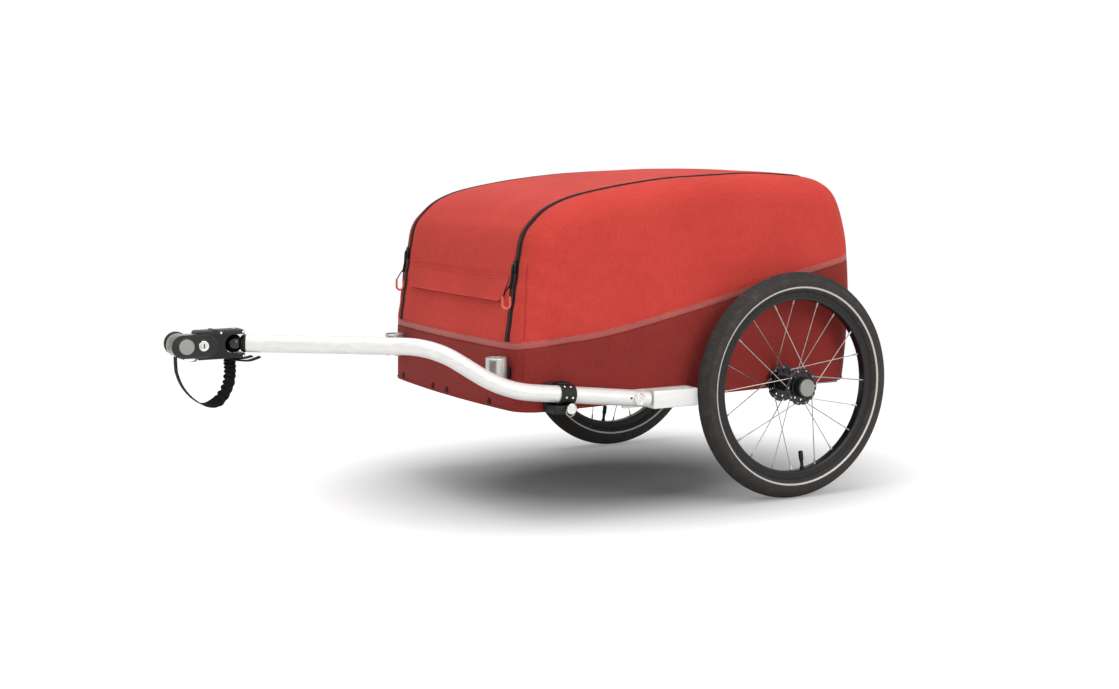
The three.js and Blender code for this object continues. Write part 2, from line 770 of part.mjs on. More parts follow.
function addHoop(side, label) {
  const x = side * (railSpacing / 2);
  const pivot = hoopFeet[label];
  const route = hoopRoute(label).map(([y, z]) => new THREE.Vector3(x, y, z));
  const curve = new THREE.CatmullRomCurve3(route, false, 'centripetal');
  let hoop = tubeAlong(curve, hoopTubeDiameter, 0, hoopSides, hoopSteps);
  hoopFootPlaces(label).forEach(([y]) => {
    hoop = hoop.add(rod(new THREE.Vector3(x, y - hoopEyeLength / 2, pivot),
      new THREE.Vector3(x, y + hoopEyeLength / 2, pivot), hoopEyeDiameter / 2));
  });
  hoopFootPlaces(label).forEach(([y, facing]) => {
    hoop = hoop.subtract(rod(new THREE.Vector3(x, y - hoopEyeLength, pivot),
      new THREE.Vector3(x, y + hoopEyeLength, pivot), hoopPinDiameter / 2 + fitGap));
    const tip = y - facing * (hoopEyeLength / 2 + fitGap);
    const headEnd = tip - facing * hoopPinHeadThickness;
    const tail = y + facing * (hoopEyeLength / 2 + fitGap + hoopEarThickness + fitGap);
    const shaft = rod(new THREE.Vector3(x, tip, pivot), new THREE.Vector3(x, tail, pivot), hoopPinDiameter / 2);
    const head = rod(new THREE.Vector3(x, headEnd, pivot), new THREE.Vector3(x, tip, pivot), hoopPinHeadDiameter / 2);
    addPiece(`hoop_pin_${facing > 0 ? 'front' : 'rear'}_${label}`, shaft.add(head), 'steel');
  });
  addPiece(`side_hoop_${label}`, hoop, 'silverAlloy');
}

function addChassis() {
  addRail(1, 'left');
  addRail(-1, 'right');
  const span = [-railInner + fitGap, railInner - fitGap];
  const barBottom = railTop - crossMemberHeight;
  addPiece('cross_member_front', block(span, [railFront, railFront + crossMemberDepth], [barBottom, railTop]), 'silverAlloy');
  addPiece('cross_member_rear', block(span, [railRear - crossMemberDepth, railRear], [barBottom, railTop]), 'silverAlloy');
  const beam = rodX(-railOuter, railOuter, 0, wheelRadius, beamRadius, hubSegments);
  const bore = rodX(-railOuter - cutOverrun, railOuter + cutOverrun, 0, wheelRadius, boreRadius, hubSegments);
  addPiece('axle_beam', beam.subtract(bore), 'steel');
  [[1, 'left'], [-1, 'right']].forEach(([side, label]) => {
    const from = side * (railOuter + fitGap);
    const to = side * (wheelTrack / 2 + hubInnerEnd - fitGap);
    const socket = rodX(from, to, 0, wheelRadius, socketDiameter / 2, hubSegments);
    addPiece(`axle_socket_${label}`, socket.subtract(bore), 'silverAlloy');
  });
  let floor = bagBody(bagWall + fitGap).intersect(
    block([-bagHalf, bagHalf], everywhere, [floorBottom, floorBottom + floorThickness]));
  [[1, 'left'], [-1, 'right']].forEach(([side, label]) => {
    const x = side * (railSpacing / 2);
    hoopFootPlaces(label).forEach(([y, facing]) => {
      const ear = hoopEarWidth / 2 + fitGap;
      const near = y + facing * (hoopEyeLength / 2);
      const far = near + facing * (hoopEarThickness + fitGap + fitGap);
      floor = floor.subtract(block([x - ear, x + ear], [near, far].sort((a, b) => a - b), [railTop, railTop + cutOverrun]));
    });
  });
  addPiece('floor_panel', floor, 'boardGrey');
  addHoop(1, 'left');
  addHoop(-1, 'right');
}

addChassis();

// Receptacle tubes at the box's front corners

function receptacle(x) {
  const bottom = receptacleTop - receptacleHeight;
  const radius = receptacleDiameter / 2;
  const y = bagFrontAt(bottom) - receptacleStandOff - radius;
  const from = new THREE.Vector3(x, y, bottom);
  const to = new THREE.Vector3(x, y, receptacleTop);
  const half = receptacleLugWidth / 2;
  const lug = slab([
    [y, bottom], [bagFrontAt(bottom) - receptacleLugGap, bottom],
    [bagFrontAt(receptacleTop) - receptacleLugGap, receptacleTop], [y, receptacleTop],
  ], x - half, x + half);
  const bore = rod(from.clone().setZ(bottom - cutOverrun), to.clone().setZ(receptacleTop + cutOverrun),
    radius - receptacleWall, hubSegments);
  return rod(from, to, radius, hubSegments).add(lug).subtract(bore);
}

addPiece('receptacle_left', receptacle(bagHalf - receptacleLeftInset), 'silverAlloy');
addPiece('receptacle_right', receptacle(receptacleRightInset - bagHalf), 'silverAlloy');

// Drawbar

const drawbarRear = new THREE.Vector3(drawbarSide, drawbarRearY, drawbarRearZ);
const drawbarKnee = new THREE.Vector3(drawbarSide, drawbarKneeY, drawbarKneeZ);
const drawbarShoulder = new THREE.Vector3(drawbarShoulderX, drawbarShoulderY, drawbarShoulderZ);
const drawbarTip = new THREE.Vector3(drawbarTipX, drawbarTipY, drawbarTipZ);
const drawbarRun = drawbarKnee.clone().sub(drawbarRear).normalize();
const tipRun = drawbarTip.clone().sub(drawbarShoulder).normalize();

// A straight, round bend, straight run through the given corners
function bentPath(corners, radius) {
  const path = new THREE.CurvePath();
  let start = corners[0];
  for (let i = 1; i < corners.length - 1; i += 1) {
    const incoming = corners[i].clone().sub(corners[i - 1]).normalize();
    const outgoing = corners[i + 1].clone().sub(corners[i]).normalize();
    const reach = radius * Math.tan(incoming.angleTo(outgoing) / 2);
    const bendStart = corners[i].clone().addScaledVector(incoming, -reach);
    const bendEnd = corners[i].clone().addScaledVector(outgoing, reach);
    path.add(new THREE.LineCurve3(start, bendStart));
    path.add(new THREE.QuadraticBezierCurve3(bendStart, corners[i], bendEnd));
    start = bendEnd;
  }
  path.add(new THREE.LineCurve3(start, corners[corners.length - 1]));
  return path;
}

function onDrawbar(y) {
  return drawbarRear.clone().addScaledVector(drawbarRun, (y - drawbarRearY) / drawbarRun.y);
}

const drawbarRadius = drawbarDiameter / 2;
const boreOfDrawbar = (drawbarRadius - drawbarWall) * Math.cos(Math.PI / drawbarSides);
const hitchPoint = onDrawbar(hitchPinY);
const holderInner = bagHalf + holderStandOff;
const headX = drawbarSide + drawbarRadius + fitGap;

function addDrawbar() {
  const path = bentPath([drawbarRear, drawbarKnee, drawbarShoulder, drawbarTip], drawbarBendRadius);
  const tube = tubeAlong(path, drawbarDiameter, drawbarWall, drawbarSides, drawbarSteps);
  const pinHole = rodX(drawbarSide - cutOverrun, drawbarSide + cutOverrun, hitchPoint.y, hitchPoint.z,
    hitchPinDiameter / 2 + fitGap);
  addPiece('drawbar_tube', tube.subtract(pinHole), 'silverAlloy');
  const shaft = rodX(holderInner + fitGap, headX, hitchPoint.y, hitchPoint.z, hitchPinDiameter / 2);
  const head = rodX(headX, headX + hitchPinHeadThickness, hitchPoint.y, hitchPoint.z,
    hitchPinHeadDiameter / 2, hubSegments);
  addPiece('hitch_pin', shaft.add(head), 'steel');
}

addDrawbar();

// Rear bracket and front clamp

function rearBracket() {
  const plateOuter = holderInner + bracketPlateThickness;
  const boxOuter = plateOuter + bracketBoxWidth;
  const bottom = bracketBoxTop - bracketBoxHeight;
  const wall = bracketBoxWall;
  const plate = block([holderInner, plateOuter], [bracketPlateFront, bracketBoxRear], [bottom, bracketBoxTop]);
  const box = block([plateOuter - wall, boxOuter], [bracketBoxFront, bracketBoxRear], [bottom, bracketBoxTop]);
  const hollow = block([plateOuter + wall, boxOuter - wall], [bracketBoxFront + wall, bracketBoxRear - wall],
    [bottom + wall, bracketBoxTop + cutOverrun]);
  const slot = hitchPinDiameter / 2 + fitGap;
  const reach = hitchPoint.clone().addScaledVector(drawbarRun, cutOverrun);
  const slotX = (holderInner + plateOuter) / 2;
  const channel = new THREE.BoxGeometry(bracketPlateThickness + cutOverrun, cutOverrun, 2 * slot);
  channel.rotateX(Math.atan2(-drawbarRun.z, -drawbarRun.y));
  channel.translate(slotX, (hitchPoint.y + reach.y) / 2, (hitchPoint.z + reach.z) / 2);
  const seat = rodX(holderInner - cutOverrun, plateOuter + cutOverrun, hitchPoint.y, hitchPoint.z, slot);
  return plate.add(box).subtract(hollow).subtract(seat).subtract(solidOf(channel));
}

function frontClamp() {
  const plateOuter = holderInner + clampPlateThickness;
  const ringFrom = onDrawbar(clampFront);
  const ringTo = onDrawbar(clampRear);
  const top = ringFrom.z + drawbarRadius + clampBandThickness;
  const bore = rod(onDrawbar(clampFront - cutOverrun), onDrawbar(clampRear + cutOverrun),
    drawbarRadius + fitGap, hubSegments);
  const band = rod(ringFrom, ringTo, drawbarRadius + fitGap + clampBandThickness, hubSegments);
  const plate = block([holderInner, plateOuter], [clampArmFront, clampRear], [clampArmBottom, top]);
  const bridge = block([holderInner, drawbarSide], [clampFront, clampRear], [top - clampBandThickness, top]);
  const arm = block([holderInner, headX - fitGap], [clampArmFront, clampArmRear], [clampArmBottom, clampArmTop]);
  const pinHole = rodX(holderInner - cutOverrun, headX + cutOverrun, lockPinY, lockPinZ,
    lockPinDiameter / 2 + fitGap);
  return band.add(plate).add(bridge).add(arm).subtract(bore).subtract(pinHole);
}

function addLockPin() {
  const neckEnd = headX + lockPinRingWire + fitGap;
  const shaft = rodX(holderInner + fitGap, neckEnd, lockPinY, lockPinZ, lockPinDiameter / 2);
  const head = rodX(neckEnd, neckEnd + lockPinHeadThickness, lockPinY, lockPinZ, lockPinHeadDiameter / 2, hubSegments);
  addPiece('locking_pin', shaft.add(head), 'steel');
  const major = (lockPinRingDiameter - lockPinRingWire) / 2;
  const ring = new THREE.TorusGeometry(major, lockPinRingWire / 2 - fitGap / 2, ringSides, ringSegments);
  ring.rotateY(Math.PI / 2);
  const hang = major - lockPinRingWire / 2 - lockPinDiameter / 2;
  ring.translate((headX + neckEnd) / 2, lockPinY, lockPinZ - hang);
  addPiece('pin_ring', solidOf(ring), 'steel');
}

addPiece('rear_bracket', rearBracket(), 'silverAlloy');
addPiece('front_clamp', frontClamp(), 'blackPlastic');
addLockPin();

// Swivel ball and coupling head

const ballCentre = drawbarTip.clone().addScaledVector(tipRun, ballSetback);
const ballRadius = ballDiameter / 2;
const plateInner = ballRadius + fitGap + fitGap;
const yokeOuter = plateInner + yokePlateThickness;

function addSwivel() {
  const neck = ballNeckDiameter / 2;
  const collarStart = drawbarTip.clone().addScaledVector(tipRun, fitGap);
  const collarEnd = collarStart.clone().addScaledVector(tipRun, collarThickness);
  const collar = rod(collarStart, collarEnd, drawbarRadius, hubSegments)
    .add(rod(drawbarTip.clone().addScaledVector(tipRun, -ballStemLength), collarEnd, boreOfDrawbar - fitGap, hubSegments))
    .subtract(rod(drawbarTip.clone().addScaledVector(tipRun, -ballStemLength - cutOverrun),
      collarEnd.clone().addScaledVector(tipRun, cutOverrun), neck + fitGap, hubSegments));
  addPiece('drawbar_collar', collar, 'blackPlastic');
  const sphere = new THREE.SphereGeometry(ballRadius, ballSegments, ballSegments / 2);
  sphere.rotateX(Math.PI / 2);
  sphere.translate(ballCentre.x, ballCentre.y, ballCentre.z);
  const stemEnd = drawbarTip.clone().addScaledVector(tipRun, -ballStemLength);
  const pinHole = yokePinDiameter / 2 + fitGap;
  const ball = solidOf(sphere).add(rod(stemEnd, ballCentre, neck, hubSegments)).subtract(rod(
    ballCentre.clone().setZ(ballCentre.z - ballDiameter), ballCentre.clone().setZ(ballCentre.z + ballDiameter), pinHole));
  addPiece('swivel_ball', ball, 'blackAlloy');
}

function addYoke() {
  const { x, y, z } = ballCentre;
  const half = yokeWidth / 2;
  const lower = [z - yokeOuter, z - plateInner];
  const upper = [z + plateInner, z + yokeOuter];
  const front = y - yokeBlockEnd;
  const yoke = block([x - half, x + half], [front, y - yokeBlockStart], [z - yokeOuter, z + yokeOuter])
    .add(block([x - half, x + half], [y - yokeBlockStart - fitGap, y + yokeReach], lower))
    .add(block([x - half, x + half], [y - yokeBlockStart - fitGap, y + yokeReach], upper))
    .subtract(rod(ballCentre.clone().setZ(z - ballDiameter), ballCentre.clone().setZ(z + ballDiameter),
      yokePinDiameter / 2 + fitGap))
    .subtract(slab(oblong(coverCentreY, z, coverLength + 2 * fitGap, coverHeight + 2 * fitGap, hubSegments / 2),
      coverFaceX - coverThickness - sleevePlateThickness - fitGap, coverFaceX + cutOverrun));
  addPiece('coupling_yoke', yoke, 'blackPlastic');
  const headTop = z + yokeOuter + fitGap;
  const pin = rod(ballCentre.clone().setZ(z - yokeOuter), ballCentre.clone().setZ(headTop), yokePinDiameter / 2)
    .add(rod(ballCentre.clone().setZ(headTop), ballCentre.clone().setZ(headTop + yokePinHeadThickness),
      yokePinHeadDiameter / 2));
  addPiece('swivel_pin', pin, 'steel');
}

function addHead() {
  const level = ballCentre.z;
  const coverBack = coverFaceX - coverThickness;
  const plateFace = coverBack - fitGap;
  const plateBack = plateFace - sleevePlateThickness;
  const sides = hubSegments / 2;
  const stem = pushButtonStemDiameter / 2;
  const mouth = sleeveBackX - mouthRingThickness;
  const sleeve = slab(oblong(coverCentreY, level, coverLength, coverHeight - 2 * lockCylinderProud, sides), plateBack, plateFace)
    .add(rodX(sleeveBackX, plateFace, pushButtonY, level, sleeveDiameter / 2, hubSegments))
    .subtract(rodX(sleeveBackX - cutOverrun, sleeveBackX - mouthRingThickness + sleeveBoreDepth, pushButtonY, level,
      sleeveBoreDiameter / 2, hubSegments))
    .subtract(rodX(sleeveBackX, coverFaceX, pushButtonY, level, stem + fitGap));
  addPiece('coupling_sleeve', sleeve, 'steel');
  const ring = rodX(mouth, sleeveBackX - fitGap, pushButtonY, level, mouthRingDiameter / 2, hubSegments)
    .subtract(rodX(mouth - cutOverrun, sleeveBackX + cutOverrun, pushButtonY, level, sleeveBoreDiameter / 2, hubSegments));
  addPiece('mouth_ring', ring, 'blackPlastic');
  const buttonBack = coverFaceX + pushButtonProud - pushButtonTravel - buttonThickness;
  const well = rodX(buttonBack - pushButtonTravel - fitGap, coverFaceX + cutOverrun, pushButtonY, level,
    pushButtonDiameter / 2 + fitGap, hubSegments);
  const lockWell = rodX(coverBack + coverFloor, coverFaceX + cutOverrun, lockCylinderY, level,
    lockCylinderDiameter / 2 + fitGap, hubSegments);
  const cover = slab(oblong(coverCentreY, level, coverLength, coverHeight, sides), coverBack, coverFaceX)
    .subtract(well)
    .subtract(lockWell)
    .subtract(rodX(coverBack - cutOverrun, coverFaceX, pushButtonY, level, stem + fitGap));
  addPiece('coupling_cover', cover, 'blackPlastic');
  const button = rodX(buttonBack, coverFaceX + pushButtonProud, pushButtonY, level, pushButtonDiameter / 2, hubSegments)
    .add(rodX(plateBack, buttonBack, pushButtonY, level, stem));
  addPiece('push_button', button, 'greyPlastic');
  const slotHalf = keySlotWidth / 2;
  const lock = rodX(coverBack + coverFloor + fitGap, coverFaceX + lockCylinderProud, lockCylinderY, level,
    lockCylinderDiameter / 2, hubSegments)
    .subtract(block([coverFaceX + lockCylinderProud - keySlotDepth, coverFaceX + cutOverrun],
      [lockCylinderY - slotHalf, lockCylinderY + slotHalf], [level - keySlotLength / 2, level + keySlotLength / 2]));
  addPiece('lock_cylinder', lock, 'steel');
  const clipTop = level - coverHeight / 2 - fitGap;
  const clipStart = ballCentre.y - yokeBlockEnd - fitGap - clipLength;
  const clip = slab([
    [clipStart, clipTop], [clipStart + clipLength, clipTop], [clipStart + clipLength, clipTop - clipThickness],
    [clipStart + clipThickness, clipTop - clipThickness], [clipStart + clipHook, clipTop - clipHook],
    [clipStart + clipHook - clipThickness, clipTop - clipHook], [clipStart, clipTop - clipThickness],
  ], coverFaceX - clipWidth, coverFaceX);
  addPiece('strap_clip', clip, 'steel');
}

// The safety strap hangs as a loop: a narrow band at the front that turns into a broad gathered part behind
function safetyStrap() {
  const frontTop = ballCentre.z - sleeveDiameter / 2 - fitGap;
  const rearTop = ballCentre.z - yokeOuter - 2 * fitGap;
  const drop = frontTop - strapLow;
  const reach = strapRearY - strapFrontY;
  const routeShares = [
    [0, 0], [0, 0.14], [0.02, 0.35], [0.12, 0.62], [0.3, 0.86], [0.52, 1], [0.78, 0.93], [0.95, 0.66],
    [1, 0.38], [1, 0.18], [1, 0],
  ];
  const places = routeShares.map(([along, down]) => new THREE.Vector3(
    strapCentreX, strapFrontY + reach * along, frontTop - drop * down));
  places[places.length - 1].z = rearTop;
  const curve = new THREE.CatmullRomCurve3(places, false, 'centripetal');
  const positions = [];
  const index = [];
  for (let i = 0; i <= strapSteps; i += 1) {
    const share = i / strapSteps;
    const centre = curve.getPointAt(share);
    const tangent = curve.getTangentAt(share);
    const turn = THREE.MathUtils.smoothstep(share, strapTurnStartShare, strapTurnEndShare);
    const twist = (Math.PI / 2) * turn;
    const normal = new THREE.Vector3(0, tangent.z, -tangent.y);
    const sideways = new THREE.Vector3(1, 0, 0);
    const wide = sideways.clone().multiplyScalar(Math.cos(twist)).addScaledVector(normal, Math.sin(twist));
    const thin = normal.clone().multiplyScalar(Math.cos(twist)).addScaledVector(sideways, -Math.sin(twist));
    const width = THREE.MathUtils.lerp(strapBandWidth, strapElasticWidth, turn);
    [[-1, -1], [1, -1], [1, 1], [-1, 1]].forEach(([u, v]) => {
      const corner = centre.clone().addScaledVector(wide, (u * width) / 2).addScaledVector(thin, (v * strapThickness) / 2);
      positions.push(corner.x, corner.y, corner.z);
    });
    if (i > 0) {
      const here = 4 * i;
      const back = here - 4;
      for (let k = 0; k < 4; k += 1) {
        const next = (k + 1) % 4;
        index.push(back + k, back + next, here + next, back + k, here + next, here + k);
      }
    }
  }
  const end = 4 * strapSteps;
  index.push(0, 2, 1, 0, 3, 2, end, end + 1, end + 2, end, end + 2, end + 3);
  const geometry = new THREE.BufferGeometry();
  geometry.setAttribute('position', new THREE.Float32BufferAttribute(positions, 3));
  geometry.setIndex(index);
  let solid = solidOf(geometry);
  if (solid.volume() < 0) {
    const flipped = [];
    for (let i = 0; i < index.length; i += 3) {
      flipped.push(index[i], index[i + 2], index[i + 1]);
    }
    geometry.setIndex(flipped);
    solid = solidOf(geometry);
  }
  return solid;
}

addSwivel();
addYoke();
addHead();
addPiece('safety_strap', safetyStrap(), 'blackWebbing');

// The group's own origin is the middle of the footprint on the ground
const frontReach = coverCentreY - coverLength / 2;
model.position.y = -(frontReach + wheelRadius) / 2;

export default trailer;
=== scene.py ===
from math import atan2, cos, pi, radians, sin, sqrt, tan

import bpy
from mathutils import Matrix, Vector, noise
from mathutils.bvhtree import BVHTree


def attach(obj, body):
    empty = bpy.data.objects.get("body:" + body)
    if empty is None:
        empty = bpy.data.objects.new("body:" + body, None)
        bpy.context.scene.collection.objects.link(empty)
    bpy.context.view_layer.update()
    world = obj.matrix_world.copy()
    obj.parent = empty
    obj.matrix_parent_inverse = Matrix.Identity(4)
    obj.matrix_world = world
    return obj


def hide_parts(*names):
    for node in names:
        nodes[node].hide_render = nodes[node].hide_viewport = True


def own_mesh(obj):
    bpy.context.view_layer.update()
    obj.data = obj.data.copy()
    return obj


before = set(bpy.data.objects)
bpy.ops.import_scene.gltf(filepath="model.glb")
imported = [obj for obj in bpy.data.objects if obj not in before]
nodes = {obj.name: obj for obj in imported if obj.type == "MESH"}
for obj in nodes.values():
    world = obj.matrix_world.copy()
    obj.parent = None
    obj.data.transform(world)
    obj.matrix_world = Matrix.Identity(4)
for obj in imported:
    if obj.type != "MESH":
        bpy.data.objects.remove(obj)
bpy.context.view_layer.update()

# Camera, where the photograph was taken from

bpy.ops.object.camera_add(
    location=(3.27905, -1.66063, 0.75737), rotation=(radians(83.3861), 0, radians(60.8974)))
camera = bpy.context.object
camera.name = "photo_camera"
camera.data.lens = 53.08
camera.data.sensor_width = 36
bpy.context.scene.camera = camera

# Handling of pieces


def release_all():
    if bpy.context.mode != "OBJECT":
        bpy.ops.object.mode_set(mode="OBJECT")
    bpy.ops.object.select_all(action="DESELECT")


def take_up(piece):
    release_all()
    bpy.context.view_layer.objects.active = piece
    piece.select_set(True)


def edit(piece, mode="VERT"):
    take_up(piece)
    bpy.ops.object.mode_set(mode="EDIT")
    bpy.ops.mesh.select_mode(type=mode)


def edit_all(piece, mode="VERT"):
    edit(piece, mode)
    bpy.ops.mesh.select_all(action="SELECT")


def face_outwards():
    bpy.ops.mesh.select_all(action="SELECT")
    bpy.ops.mesh.normals_make_consistent(inside=False)
    release_all()


def choose(piece, test):
    release_all()
    for part in (piece.data.edges, piece.data.vertices):
        part.foreach_set("select", [False] * len(part))
    piece.data.polygons.foreach_set("select", [bool(test(polygon)) for polygon in piece.data.polygons])
    for polygon in piece.data.polygons:
        if polygon.select:
            for index in polygon.vertices:
                piece.data.vertices[index].select = True
    edit(piece, "FACE")


def settle(piece, name):
    take_up(piece)
    piece.name = name
    piece.data.name = name
    bpy.ops.object.transform_apply(location=True, rotation=True, scale=True)
    return piece


def apply_modifier(piece, kind, **settings):
    take_up(piece)
    step = piece.modifiers.new(kind.lower(), kind)
    for key, value in settings.items():
        setattr(step, key, value)
    bpy.ops.object.modifier_apply(modifier=step.name)


def round_edges(piece, width, segments=3, angle=30):
    apply_modifier(piece, "BEVEL", width=width, segments=segments, limit_method="ANGLE",
                   angle_limit=radians(angle), harden_normals=False)


def smooth(piece, angle=35):
    take_up(piece)
    bpy.ops.object.shade_smooth_by_angle(angle=radians(angle))


def cut_with(piece, tool, operation="DIFFERENCE"):
    apply_modifier(piece, "BOOLEAN", object=tool, operation=operation, solver="EXACT")
    bpy.data.objects.remove(tool)


def join(first, *others):
    take_up(first)
    for other in others:
        other.select_set(True)
    bpy.ops.object.join()
    return first


def copy_of(piece, name):
    twin = piece.copy()
    twin.data = piece.data.copy()
    bpy.context.scene.collection.objects.link(twin)
    twin.name = name
    twin.data.name = name
    return twin


def turned_copy(piece, name, matrix):
    twin = copy_of(piece, name)
    twin.data.transform(matrix)
    return twin


def finish(piece, finish_material, body, slot, *replaced):
    piece.data.materials.clear()
    piece.data.materials.append(finish_material)
    if replaced:
        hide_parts(*replaced)
    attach(piece, body)
    return piece


# Shaping: lines, plates, turned parts, tubes, blocks and pins


def drawn_line(name, points, closed=False):
    bpy.ops.mesh.primitive_plane_add(size=0.01)
    line = bpy.context.object
    edit_all(line)
    bpy.ops.mesh.merge(type="CENTER")
    bpy.ops.transform.translate(value=points[0])
    here = Vector(points[0])
    for point in points[1:]:
        step = Vector(point) - here
        bpy.ops.mesh.extrude_region_move(TRANSFORM_OT_translate={"value": step})
        here = Vector(point)
    if closed:
        bpy.ops.mesh.select_all(action="SELECT")
        bpy.ops.mesh.edge_face_add()
    release_all()
    return settle(line, name)


def plate(name, outline, thickness, bevel=0.0, segments=2):
    piece = drawn_line(name, outline, closed=True)
    edit_all(piece, "FACE")
    bpy.ops.mesh.extrude_region_move(TRANSFORM_OT_translate={"value": thickness})
    face_outwards()
    if bevel:
        round_edges(piece, bevel, segments)
    smooth(piece)
    return piece


def turned(name, profile, centre, axis=(1, 0, 0), steps=48, angle=35):
    along = Vector(axis).normalized()
    turn = Vector((1, 0, 0)).rotation_difference(along)
    points = [Vector(centre) + turn @ Vector((reach, 0, radius)) for radius, reach in profile]
    piece = drawn_line(name, points)
    edit_all(piece)
    bpy.ops.mesh.spin(steps=steps, angle=2 * pi, center=centre, axis=along)
    bpy.ops.mesh.select_all(action="SELECT")
    bpy.ops.mesh.remove_doubles(threshold=0.00002)
    face_outwards()
    smooth(piece, angle)
    return piece


def tube(name, points, radius, sides=12, closed=False):
    bpy.ops.curve.primitive_bezier_curve_add()
    path = bpy.context.object
    path.data.splines.clear()
    spline = path.data.splines.new("POLY")
    spline.points.add(len(points) - 1)
    for knot, point in zip(spline.points, points):
        knot.co = (*point, 1)
    spline.use_cyclic_u = closed
    path.data.dimensions = "3D"
    path.data.bevel_depth = radius
    path.data.bevel_resolution = max(0, sides // 4)
    path.data.use_fill_caps = True
    take_up(path)
    bpy.ops.object.convert(target="MESH")
    piece = settle(bpy.context.object, name)
    edit_all(piece)
    bpy.ops.mesh.remove_doubles(threshold=0.00001)
    face_outwards()
    smooth(piece, 40)
    return piece


def rounded_block(name, low, high, bevel=0.001, segments=3):
    low, high = Vector(low), Vector(high)
    bpy.ops.mesh.primitive_cube_add(size=1, location=(low + high) / 2)
    piece = bpy.context.object
    piece.scale = high - low
    settle(piece, name)
    if bevel:
        round_edges(piece, bevel, segments)
    smooth(piece)
    return piece


def pin(name, start, end, radius, bevel=0.0005, sides=32):
    start, end = Vector(start), Vector(end)
    length = (end - start).length
    profile = [(0, 0), (radius - bevel, 0), (radius, bevel), (radius, length - bevel),
               (radius - bevel, length), (0, length)]
    return turned(name, profile, start, end - start, sides)


def mm(*pairs):
    return [(a / 1000, b / 1000) for a, b in pairs]


def between(a, b, share):
    return a + (b - a) * share


def ease(value, low, high):
    share = min(1.0, max(0.0, (value - low) / (high - low)))
    return share * share * (3 - 2 * share)


def curve_through(points, steps):
    path = []
    count = len(points)
    for i in range(count - 1):
        p0 = points[max(i - 1, 0)]
        p1 = points[i]
        p2 = points[i + 1]
        p3 = points[min(i + 2, count - 1)]
        for k in range(steps):
            t = k / steps
            path.append(tuple(
                0.5 * (2 * b + (c - a) * t + (2 * a - 5 * b + 4 * c - d) * t * t
                       + (3 * b - a - 3 * c + d) * t ** 3)
                for a, b, c, d in zip(p0, p1, p2, p3)))
    path.append(tuple(points[-1]))
    return path


# Finishes: colours and grain from noise, no pictures


def colour(red, green, blue):
    def linear(value):
        share = value / 255
        return share / 12.92 if share < 0.04045 else ((share + 0.055) / 1.055) ** 2.4
    return (linear(red), linear(green), linear(blue), 1)


def feed(tree, socket, value):
    if isinstance(value, (int, float, tuple)):
        socket.default_value = value
    else:
        tree.links.new(value, socket)


def feed_all(tree, node, **sockets):
    for name, value in sockets.items():
        feed(tree, node.inputs[name.replace("_", " ")], value)
    return node


def shader(tree, kind, *values, **sockets):
    node = tree.nodes.new("ShaderNode" + kind)
    for socket, value in zip(node.inputs, values):
        feed(tree, socket, value)
    return feed_all(tree, node, **sockets)


def new_finish(name):
    material = bpy.data.materials.new(name)
    material.use_nodes = True
    tree = material.node_tree
    return material, tree, tree.nodes["Principled BSDF"]


def place(tree, scale=(1, 1, 1), turn=(0, 0, 0), shift=(0, 0, 0)):
    source = shader(tree, "TexCoord").outputs["Object"]
    return shader(tree, "Mapping", Vector=source, Location=shift, Scale=scale,
                  Rotation=turn).outputs["Vector"]


def grain(tree, scale, detail=4, rough=0.5, stretch=(1, 1, 1), turn=(0, 0, 0)):
    return shader(tree, "TexNoise", Vector=place(tree, stretch, turn), Scale=scale, Detail=detail,
                  Roughness=rough).outputs["Fac"]


def threads(tree, direction, pitch, wobble=1.0):
    texture = shader(tree, "TexWave", Vector=place(tree), Scale=2 * pi / (20 * pitch), Distortion=wobble,
                     Detail=1, Detail_Scale=0.3)
    texture.wave_type = "BANDS"
    texture.bands_direction = direction
    return texture.outputs["Fac"]


def math_of(tree, operation, a, b):
    node = shader(tree, "Math", a, b)
    node.operation = operation
    return node.outputs[0]


def total(tree, *values):
    result = values[0]
    for value in values[1:]:
        result = math_of(tree, "ADD", result, value)
    return result


def spread(tree, value, low, high, to_low=0.0, to_high=1.0):
    return shader(tree, "MapRange", Value=value, From_Min=low, From_Max=high, To_Min=to_low,
                  To_Max=to_high).outputs["Result"]


def mixed(tree, share, first, second):
    node = shader(tree, "Mix")
    node.data_type = "RGBA"
    for index, value in ((0, share), (6, first), (7, second)):
        feed(tree, node.inputs[index], value)
    return node.outputs[2]


def bump(tree, height, strength, distance):
    return shader(tree, "Bump", Height=height, Strength=strength, Distance=distance).outputs["Normal"]


def woven_cloth(name, light, dark, pitch=0.0011, roughness=0.8, sheen=0.04, slub=0.5):
    material, tree, surface = new_finish(name)
    weave = total(tree, *[threads(tree, direction, pitch) for direction in "XYZ"])
    slubs = total(tree, grain(tree, 60, 3, 0.6, (1, 1, 9)), grain(tree, 60, 3, 0.6, (6, 6, 0.7)))
    share = total(tree, spread(tree, slubs, 0.7, 1.3, -slub, slub),
                  spread(tree, grain(tree, 7, 2), 0.3, 0.7, 0.2, 0.8), spread(tree, weave, 0, 3, -0.25, 0.25))
    clamped = math_of(tree, "MINIMUM", math_of(tree, "MAXIMUM", share, 0.0), 1.0)
    height = total(tree, weave, math_of(tree, "MULTIPLY", slubs, 1.4))
    feed_all(tree, surface, Base_Color=mixed(tree, clamped, light, dark), Roughness=roughness,
             Sheen_Weight=sheen, Sheen_Roughness=0.45, Specular_IOR_Level=0.18,
             Normal=bump(tree, height, 0.35, 0.0003))
    return material


